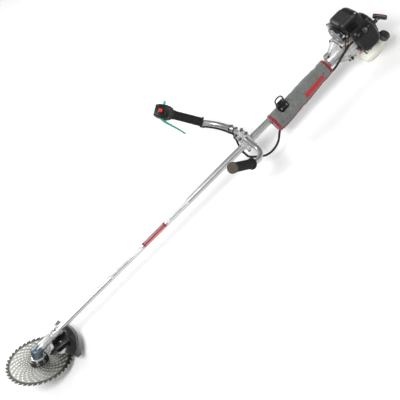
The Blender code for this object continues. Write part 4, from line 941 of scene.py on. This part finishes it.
for f in range(1, 21):
    scene.frame_set(f)
apply_all(pad)
for v, q in zip(pad.data.vertices, before):
    d = v.co - q
    if d.length > PAD_SWELL:
        v.co = q + d * (PAD_SWELL / d.length)
scene.frame_set(1)
for v in pad.data.vertices:
    s = v.co.x - AX
    cy, cz = pad_centre(s)
    if hypot(v.co.y - AY, v.co.z - AZ) < PAD_CORE:
        continue
    d = Vector((0, v.co.y - AY - cy, v.co.z - AZ - cz)).normalized()
    a = atan2(d.z, d.y)
    e = min(s - PAD_A, PAD_B - s)
    pucker = exp(-max(e, 0) / 0.02)
    near = exp(-((s - HS) / 0.045) ** 2) * max(0.0, d.dot(Vector((0, -sin(H_TILT), cos(H_TILT)))))
    w = 0.0007 * noise.noise(Vector((s * 26, a * 1.6, 3.1))) + 0.001 * pucker * sin(a * 17 + 5 * s)
    w += 0.001 * near * sin(s * 620 + a * 2.5) + 0.0006 * noise.noise(Vector((s * 90, a * 4.0, 9.7)))
    v.co += d * (w - 0.0002)
b = bmesh.new()
b.from_mesh(pad.data)
bmesh.ops.smooth_vert(b, verts=b.verts, factor=0.35, use_axis_x=True, use_axis_y=True, use_axis_z=True)
b.to_mesh(pad.data)
b.free()
q = pad.modifiers.new("sub", "SUBSURF")
q.levels = q.render_levels = 1
pad.data.shade_smooth()
pad.data.materials.clear()
pad.data.materials.append(M["fabric"])
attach(pad, "machine")
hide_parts("hip_pad")
bpy.context.view_layer.update()
tree = BVHTree.FromObject(pad, bpy.context.evaluated_depsgraph_get())


def hug(s, a, lift=0.0):
    """Point on the pad's surface at a station and an angle round it, raised by lift."""
    cy, cz = pad_centre(s)
    c = S(s, cy, cz)
    d = Vector((0, cos(a), sin(a)))
    hit = tree.ray_cast(c + d * 0.12, -d)
    p = hit[0] if hit[0] is not None else c + d * 0.036
    return p + d * lift


def binding(end, into):
    """Gathered tape folded over one end of the pad."""
    rows = []
    for x, lift, pull in ((0.0092, 0.0, 0), (0.0088, 0.0014, 0), (0.0066, 0.0019, 0), (0.0044, 0.0016, 0),
            (0.0022, 0.0019, 0), (0.0002, 0.0014, 0.0002), (-0.0012, 0.0006, 0.0012), (-0.002, 0, 0.003),
            (-0.0022, 0, 0.0062), (-0.0012, 0, 0.0076)):
        row = []
        for a in turn(120):
            p = hug(end + into * max(x, 0.004), a, lift)
            cy, cz = pad_centre(end)
            d = Vector((0, cos(a), sin(a)))
            fold = 0.0005 * sin(a * 31) + 0.0004 * sin(a * 13 + 1.0)
            p = p - d * (pull - fold * (x < 0.009))
            p.x = AX + end + into * (x + 0.0007 * sin(a * 7 + end * 40) * (x > 0.006))
            row.append(p)
        rows.append(row)
    return rows


kit.loops(binding(PAD_A, 1), None, True, False)
kit.loops(binding(PAD_B, -1), None, True, False)
A_SEAM = A_VIEW + radians(72)
kit.sweep([hug(PAD_A + 0.008 + (PAD_B - PAD_A - 0.016) * i / 70, A_SEAM, 0.0003) for i in range(71)], 0.0013,
    8)
kit.done("pad_piping", "piping", angle=80)
rows = []
for i in range(61):
    x = PAD_A + 0.01 + (PAD_B - PAD_A - 0.02) * i / 60
    rows.append([hug(x, A_SEAM + 0.04 + 0.42 * k / 8, 0.0011 + 0.0004 * sin(x * 300) * (k == 8))
        for k in range(9)])
kit.loops(rows, None, False, False)
kit.done("pad_flap", "fabric", angle=80, thick=(0.0013, 0.0))


def stitch(pts):
    kit.sweep(pts, 0.00032, 6)


for s0 in (PAD_A + 0.0125, PAD_B - 0.0125):
    for a in turn(84):
        stitch([hug(s0, a + 0.045 * t, 0.0002) for t in (0.0, 0.5, 1.0)])
for i in range(60):
    x = PAD_A + 0.014 + (PAD_B - PAD_A - 0.028) * i / 60
    stitch([hug(x + 0.0028 * t, A_SEAM + 0.4, 0.0021) for t in (0.0, 0.5, 1.0)])
kit.done("pad_stitches", "thread")
LAB0, LAB1, LA, LH = 1.342, 1.436, radians(172), 0.32    # the patch: stations, angle, half width
rows = []
for i in range(25):
    s = LAB0 + (LAB1 - LAB0) * i / 24
    rows.append([hug(s, LA - LH + 2 * LH * k / 12, 0.0009) for k in range(13)])
kit.loops(rows, None, False, False)
kit.done("pad_label", "label", thick=(0.0009, 0.0))
for k in range(22):
    s = LAB0 + 0.0025 + (LAB1 - LAB0 - 0.005) * k / 21
    for a in (LA - LH * 0.86, LA + LH * 0.86):
        stitch([hug(s - 0.0012, a, 0.0015), hug(s, a, 0.0016), hug(s + 0.0012, a, 0.0015)])
kit.done("label_stitches", "thread")

# ---- harness hanger
refine("hanger_clamp", "black", 0.0012, 30, seg=3)
for dx in (-0.012, 0.012):
    for y in (-0.0115, 0.0115):
        kit.screw(HANG @ Vector((HS + dx, y, 0.0455)), HANG.to_3x3() @ Z, 0.0028, 0.0026, "hex")
kit.done("hanger_screws", "dark")
for z in (0.023, 0.03, 0.037):
    for y in (-0.0171, 0.0171):
        kit.box((HS - 0.016, y - 0.0008, z - 0.0012), (HS + 0.016, y + 0.0008, z + 0.0012), HANG, 0.0006)
kit.box((HS - 0.003, -0.015, 0.0452), (HS + 0.003, 0.015, 0.0468), HANG, 0.0007)
kit.done("hanger_ribs", "black")
lo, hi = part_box("hanger_ring")
ring_c = (lo + hi) / 2
WIRE = 0.0029
half_x, half_z = (hi.x - lo.x) / 2 - WIRE, (hi.z - lo.z) / 2 - WIRE
pts = []
for a in turn(64):
    x = copysign(abs(cos(a)) ** 0.72, cos(a))
    z = sin(a) ** 0.72 if sin(a) > 0 else sin(a)
    pts.append(ring_c + Vector((half_x * x, 0, half_z * z)))
kit.ring(pts, 0.0028, 16)
kit.done("harness_loop", "dark", "harness_ring", replaces=["hanger_ring"])

# ---- engine: clutch case and crankcase
refine("clutch_case", "cast", 0.0012, 34)
refine("clutch_clamp_bolt", "dark", 0.0004)
refine("clutch_drum crankshaft piston", "steel", 0.0003)
refine("clutch_shoes", "dark", 0.0003)
refine("crankcase", "cast", 0.0016, 30)
refine("cylinder flywheel_fan", "cast", 0.0004)
refine("spark_plug", "ceramic", 0.0003)
refine("ignition_coil", "rubber", 0.0006)
for a in turn(12, 0.13):
    pts = []
    for i in range(11):
        s = 1.508 + 0.0042 * i
        if s < 1.525:
            r = 0.0238 + 0.0082 * min(1, (s - 1.505) / 0.02)
        else:
            r = 0.032 + 0.011 * min(1, (s - 1.525) / 0.018) + max(0, s - 1.543) * 0.75
        pts.append(around(s, r - 0.0002, a))
    kit.sweep(pts, 0.0017, 8)
for z0 in (-0.03, -0.015, 0.0, 0.015, 0.03):
    for sy in (-1, 1):
        kit.box((1.578, sy * 0.04 - 0.0016, z0 - 0.0012), (1.633, sy * 0.04 + 0.0016, z0 + 0.0012),
            Matrix.Translation(S(0)), 0.0008)
kit.lathe([(44, 1555.5), (48.8, 1555.8), (49.2, 1556.6), (49.2, 1563.2), (48.8, 1564), (44, 1564)], SHAFT, 96)
for a in turn(4, pi / 4):
    kit.lathe([(0.2, 1554), (6.6, 1554), (7, 1554.8), (7, 1569), (0.2, 1569)],
        SHAFT @ Matrix.Translation(polar(0.0475, a)), 28)
kit.done("engine_castings", "cast")
for a in turn(4, pi / 4):
    kit.lathe([(0.1, 0), (6.2, 0), (6.6, 0.8), (6.4, 4.2), (5, 5.6), (0.1, 5.8)],
        axes(SHAFT @ polar(0.0475, a, 1.554), -X), 28)
for y, z, d in ((0.0478, 0.02, (-0.35, 1, 0.2)), (-0.0478, -0.024, (-0.35, -1, -0.2))):
    kit.lathe([(0.1, 0), (5.2, 0), (5.6, 1), (5.6, 7), (4.6, 8.4), (0.1, 8.6)], axes(S(1.56, y, z), d), 28)
kit.done("mount_rubbers", "rubber")
for y in (-0.0402, 0.0402):
    for z in (0.036, -0.034):
        for s in (1.577, 1.632):
            kit.screw(S(s, y, z), (0, y, 0), 0.003, 0.0026, "hex")
kit.done("case_screws", "dark")

# ---- engine cover: rounded hood with a cooling grille
def cover_loop(s, k, top, grow=0.0, zb=0.0475, n=64):
    """Rounded-top section at station s; k shrinks it, top is its upper edge."""
    w, h = 0.092 - 2 * k + 2 * grow, top - k + grow - zb
    r = min(0.026 - k * 0.6, h / 2 - 0.001)
    raw = [(-w / 2, zb), (w / 2, zb)]
    for side, start in ((1, 0), (-1, pi / 2)):
        for i in range(17):
            a = start + pi / 2 * i / 16
            raw.append((side * (w / 2 - r) + r * cos(a), zb + h - r + r * sin(a)))
    raw = [Vector((0, *p)) for p in raw]
    raw.append(raw[0])
    total = sum((b - a).length for a, b in zip(raw, raw[1:]))
    pts = resample(raw, total / n)[:n]
    return [S(s, p.y, p.z) for p in pts]


prof = mm(((1582, 10, 98.5), (1582.8, 8.6, 100), (1585, 6, 103.5), (1589, 3, 106.6), (1596, 1, 108.3),
    (1606, 0, 109), (1624, 0, 109), (1642, 0, 109), (1654, 0.6, 107.8), (1664, 2.6, 105), (1670, 5.2, 101.2),
    (1672.2, 7.6, 98), (1673, 10, 95.5)))
kit.loops([cover_loop(*p) for p in prof])
kit.done("engine_hood", "black", replaces=["engine_cover"], angle=60)
for i in range(8):
    s = 1.5975 + 0.0062 * i
    arc = [p for p in cover_loop(s, 0, 0.109, 0.0009) if p.z - AZ > 0.083 or (p.z - AZ > 0.062 and p.y < AY)]
    arc.sort(key=lambda p: atan2(p.z - AZ - 0.07, p.y - AY) % tau)
    kit.sweep(arc, 0.002, 8, True, 0.8)
for s in (1.5945, 1.6455):
    kit.sweep([S(s, -0.0462, 0.06), S(s, -0.0462, 0.084)], 0.0016, 8)
for y in (-0.024, 0.0, 0.024):
    kit.sweep([S(1.595, y, 0.1091), S(1.644, y, 0.1091)], 0.0014, 8)
kit.done("hood_grille", "gloss", "machine")
for i in range(7):
    s = 1.6006 + 0.0062 * i
    kit.box((-0.0019, -0.042, -0.0004), (0.0019, 0.03, 0.0003), Matrix.Translation(S(s, 0, 0.109)), 0.0002, 1)
kit.done("hood_slots", "foam")
for y in (-0.033, 0.033):
    kit.screw(S(1.66, y, 0.0985), (0.35, y * 9, 1), 0.0034, 0.0022, "pan")
kit.screw(P(1588, -42.5, 56), (-0.3, -1, 0), 0.003, 0.0022, "pan")
kit.done("hood_screws", "steel")

# ---- front panel: bright lower dome, dark upper band
def arch(s, g, n=40, lift=0.0):
    """Section of the round panel at station s: an arc of size g, cut off flat below."""
    angles = [pi * (-0.18 + 1.36 * i / n) for i in range(n + 1)]
    return [S(s, g * cos(a), max(0.049, 0.06 + 0.74 * g * sin(a)) + lift) for a in angles]


kit.loops([arch(s, g) for s, g in mm(((1562.5, 27.0), (1563.2, 31.0), (1565.0, 36.4), (1568.0, 39.4),
    (1572.0, 40.8), (1576.0, 41.6), (1580.5, 42.0)))])
kit.done("fan_panel", "panel", replaces=["front_panel"], angle=55)
kit.loops([arch(s, g + 0.0008, 64, 0.0004) for s, g in mm(((1567.2, 38.4), (1567.6, 39.2), (1569.0, 40.0),
    (1572.0, 40.9), (1576.0, 41.7), (1580.0, 42.0), (1580.6, 41.4)))], None, False, False)
kit.done("panel_shroud", "gloss", angle=55, thick=(0.001, 1.0))
for y, z, r in ((-0.01836, 0.056, 0.003), (0.01836, 0.056, 0.003), (0, 0.079, 0.0028)):
    kit.screw(S(1.563, y, z), -X, r, 0.0022, "pan")
kit.done("panel_screws", "steel")

# ---- recoil starter: vented drum, rope guide, handle
refine("recoil_case", "black", 0.0012, 32, seg=3)
refine("starter_reel", "black", 0.0004)
refine("starter_rope", "rope", 0.0002, 60)
for a in turn(16):
    kit.sweep([around(s, r, a) for s, r in mm(((1706.2, 19), (1704, 30), (1699.8, 40), (1696.4, 49.5)))],
        0.0015, 8)
for r, s in ((0.0185, 1.706), (0.03, 1.704)):
    kit.ring([around(s, r, a) for a in turn(72)], 0.0016, 8)
kit.lathe([(56, 1650), (55.4, 1649.4), (54.8, 1650), (54.8, 1658), (55.4, 1658.6), (56, 1658)], SHAFT, 96)
for a in turn(28):
    if (a - 0.35) % tau >= 0.1:
        kit.sweep([around(1.662, 0.0551, a), around(1.686, 0.0551, a)], 0.0011, 8)
kit.done("recoil_ribs", "black")
BOSSES = turn(4, radians(38))
for a in BOSSES:
    kit.lathe([(0.1, -44), (5.2, -44), (5.8, -43), (5.8, 1), (5, 2.2), (0.1, 2.2)],
        axes(around(1.693, 0.0515, a), X), 24)
kit.done("recoil_bosses", "black")
for a in BOSSES:
    kit.screw(around(1.6952, 0.0515, a), X, 0.0034, 0.0024, "pan", False)
kit.done("recoil_screws", "steel")

THANDLE, ROPE = 1.7272, (-0.044, 0.016)
bar_dir = Vector((0.59, -0.49, -0.58)).normalized()
grip_c = S(THANDLE, *ROPE)
gm = axes(grip_c, bar_dir, X)
rows = []
for h, r, f in ((-0.026, 0.004, 1), (-0.0256, 0.0062, 1), (-0.024, 0.0081, 1), (-0.0205, 0.0091, 1),
        (-0.012, 0.0092, 0.97), (0, 0.0092, 0.94), (0.012, 0.0092, 0.97), (0.0205, 0.0091, 1),
        (0.024, 0.0081, 1), (0.0256, 0.0062, 1), (0.026, 0.004, 1)):
    rows.append([gm @ Vector((r * f * cos(a), r * sin(a), h)) for a in turn(40)])
kit.loops(rows)
kit.lathe([(3, 1714), (5.6, 1714), (6, 1714.6), (6.6, 1720), (7.2, 1725), (3, 1726.2)], axes(S(0, *ROPE), X),
    32)
kit.done("starter_grip", "gloss", "starter_pull", replaces=["starter_handle"])
face = VIEW * 0.45 + U * 0.9
face = (face - bar_dir * face.dot(bar_dir)).normalized()
side = bar_dir.cross(face)
rows = []
for i in range(17):
    a = -0.6 + 1.2 * i / 16
    d = face * cos(a) + side * sin(a)
    rows.append([grip_c + bar_dir * (-0.0115 + 0.023 * t) + d * 0.00925 for t in [j / 8 for j in range(9)]])
kit.loops(rows, None, False, False)
kit.done("starter_grip_inset", "maroon", "starter_pull", thick=(0.0006, 0.0))
kit.lathe([(2.4, 1685), (7, 1685), (7.2, 1708), (6.6, 1709.8), (5, 1710.2), (3.6, 1709), (2.6, 1705)],
    axes(S(0, *ROPE), X), 32)
kit.done("rope_guide", "black")

# ---- carburettor, air box, filter, choke
def rounded(x0, x1, y0, y1, r, n):
    """Outline of a rectangle with round corners, n steps to each."""
    out = []
    for cx, cy, a0 in ((x1 - r, y1 - r, 0), (x0 + r, y1 - r, 90), (x0 + r, y0 + r, 180),
            (x1 - r, y0 + r, 270)):
        for i in range(n + 1):
            a = radians(a0 + 90 * i / n)
            out.append((cx + r * cos(a), cy + r * sin(a)))
    return out


refine("carburettor", "cast", 0.0008)
refine("air_box", "black", 0.0014, 30)
refine("air_filter", "foam", 0.001)
refine("choke_lever", "maroon", 0.0007, 30)
for s, h in ((1.607, 7), (1.623, 9)):
    kit.lathe([(0, 0), (3.2, 0), (3.4, 0.6), (3.4, h), (2.8, h + 0.8), (0, h + 0.8)],
        axes(S(s, -0.056, 0.047), Z), 20)
kit.sweep([P(1600, -60, 24), P(1593, -60, 24)], 0.0024, 16)
kit.done("carburettor_brass", "brass")
for z in (0.022, 0.043):
    kit.screw(S(1.5998, -0.069, z), -X, 0.003, 0.0028, "hex")
kit.sweep([P(1597.5, -70, 32.5), P(1597.5, -56, 35)], 0.0022, 12, True, 0.7)
kit.done("carburettor_screws", "steel")
hose = smooth_path([P(1623, -59, 14), P(1626, -60, 2), P(1630, -60, -18), P(1634, -56, -40),
    P(1636, -48, -59)], 10)
kit.sweep(hose, 0.0026, 16)
hose = smooth_path([P(1606, -60, 12), P(1602, -62, 0), P(1603, -62, -20), P(1608, -56, -42),
    P(1614, -48, -59)], 10)
kit.sweep(hose, 0.0023, 16)
kit.done("fuel_hoses", "rubber")
HOOD_S, HOOD_Z = 1.627, 0.041
rows = []
for y, w, h, r in mm(((-93.2, 81.5, 89.5, 20), (-95, 82, 90, 20), (-100, 81.8, 89.8, 20.5),
        (-106, 81.5, 89.5, 21.3), (-111, 80.8, 88.8, 22), (-115, 79, 86.8, 22.8), (-118.5, 75.8, 83.2, 23.6),
        (-121.2, 71.2, 78.2, 24), (-123.2, 65, 71.6, 23.5), (-124.4, 58, 64, 22.5), (-125, 48, 53, 20))):
    rows.append([S(s, y, z) for s, z in rounded(HOOD_S - w / 2, HOOD_S + w / 2, HOOD_Z - h / 2,
        HOOD_Z + h / 2, r, 12)])
kit.loops(rows)
kit.done("air_hood", "black", replaces=["air_cover"], angle=60)
kit.ring([S(s, -0.0962, z) for s, z in rounded(HOOD_S - 0.0413, HOOD_S + 0.0413, HOOD_Z - 0.0453,
    HOOD_Z + 0.0453, 0.0205, 12)], 0.0011, 8)
for dz in (-0.016, 0.0, 0.016):
    kit.sweep([S(1.612, -0.1252, HOOD_Z + dz), S(1.642, -0.1252, HOOD_Z + dz)], 0.0013, 8)
kit.done("air_hood_ribs", "black")
kit.lathe([(0.1, 0), (8.6, 0), (9.2, 1.2), (8.8, 6), (7.2, 7.8), (0.1, 8.2)],
    axes(P(1627, -119.5, 79), (0, -0.75, 0.65)), 40, lambda a, h: 1 + 0.05 * cos(a * 10) * (h > 0.0008))
kit.done("air_hood_knob", "gloss")

# ---- muffler and ignition lead
refine("muffler", "steel", 0.0016, 30)
for i in range(5):
    z = 0.026 + 0.01 * i
    kit.box((-0.022, -0.0006, -0.0018), (0.022, 0.0014, 0.0018), Matrix.Translation(S(1.609, 0.073, z)),
        0.0008)
for s in (1.588, 1.63):
    kit.screw(S(s, 0.073, 0.07), Y, 0.0032, 0.0028, "hex")
kit.done("muffler_louvres", "steel")
refine("spark_plug", "ceramic", 0.0003)

# wiring: two black leads, the earth tag and the coil's plate
lead = smooth_path([P(1556, -42, 18), P(1566, -50, 42), P(1577, -49, 60), P(1585, -48, 66)], 10)
kit.sweep(lead, 0.0017, 12)
lead = smooth_path([P(1550, -44, 9), P(1562, -56, 30), P(1579, -58, 49), P(1590, -50, 58)], 10)
kit.sweep(lead, 0.0017, 12)
kit.done("ignition_leads", "rubber")
kit.box((-0.0075, -0.0016, -0.006), (0.0075, 0.0016, 0.006),
    axes(P(1572, -51.5, 40), (-0.35, -0.65, 0.55), X), 0.0012)
kit.sweep(smooth_path([P(1566, -50, 35), P(1574, -57, 30), P(1586, -60, 29), P(1596, -60, 28)], 8), 0.0014,
    10)
kit.done("ground_tag", "copper")
kit.box((-0.008, -0.0012, -0.005), (0.008, 0.0012, 0.005), axes(P(1578, -42, 66), (-0.5, -0.55, 0.65), X),
    0.001)
kit.screw(P(1577.5, -42.8, 67.2), (-0.5, -0.55, 0.65), 0.0026, 0.002, "pan")
kit.done("coil_plate", "steel")

# ---- tank, cap, primer
rows = []
for z, s0, s1, y0, y1, r in mm(((-105, 1610, 1670, -35, 39, 18), (-104.6, 1607, 1673, -38.5, 42.5, 20),
        (-103.2, 1604, 1676.5, -43, 47, 22), (-100.5, 1601, 1680.2, -46.5, 50.3, 24),
        (-96, 1598.5, 1683.6, -50, 53, 25.5), (-90, 1597, 1686, -53, 55, 26),
        (-83.8, 1597, 1687, -54.5, 55, 26),
        (-83.2, 1596.2, 1688.2, -55.5, 55.8, 26), (-80.6, 1596.2, 1688.6, -56, 55.8, 26),
        (-80, 1597, 1687.6, -55.4, 55, 26), (-72, 1597, 1688, -56, 55, 26),
        (-66, 1598, 1688, -55.2, 54.2, 25),
        (-61.2, 1599.8, 1686.8, -53.5, 52.5, 23.5), (-58.6, 1602, 1685.2, -51.5, 50.5, 22),
        (-57.5, 1604.5, 1683.2, -49, 48, 20))):
    rows.append([S(s, y, z) for s, y in rounded(s0, s1, y0, y1, r, 10)])
kit.loops(rows)
CAP = axes(P(1679, -44, -69), (0.46, -0.54, 0.7))
kit.lathe([(2, -8), (14.8, -8), (14.6, 12), (15.2, 13.2), (15.2, 15), (14, 15.8), (14, 28), (2, 28)], CAP, 48)
kit.done("tank_shell", "tank", replaces=["fuel_tank"], angle=50)
kit.lathe([(1, 28.4), (18.4, 28.4), (19.6, 28.8), (20.1, 30), (20.4, 38), (20.3, 43), (19.6, 44.6),
    (18.4, 45.4), (17.2, 45.6), (16.8, 44.8), (16, 44.6), (12, 47.4), (1, 47.9)], CAP, 120,
    lambda a, h: 1 - 0.022 * (0.5 + 0.5 * cos(a * 30)) * (0.0298 < h < 0.0436))
kit.box((-0.0105, -0.0022, 0.044), (0.0105, 0.0022, 0.0479), CAP, 0.0012, 3)
kit.done("filler_cap_body", "gloss", "filler_cap", replaces=["fuel_cap"], angle=30)
refine("primer_bulb", "clear", 0.0003, 60)
kit.lathe([(9.8, -1), (11.4, -1), (11.8, -0.4), (11.4, 0.4), (9.8, 0.4)], axes(P(1615, -61.2, 11.1), -Z), 40)
kit.done("primer_ring", "black")
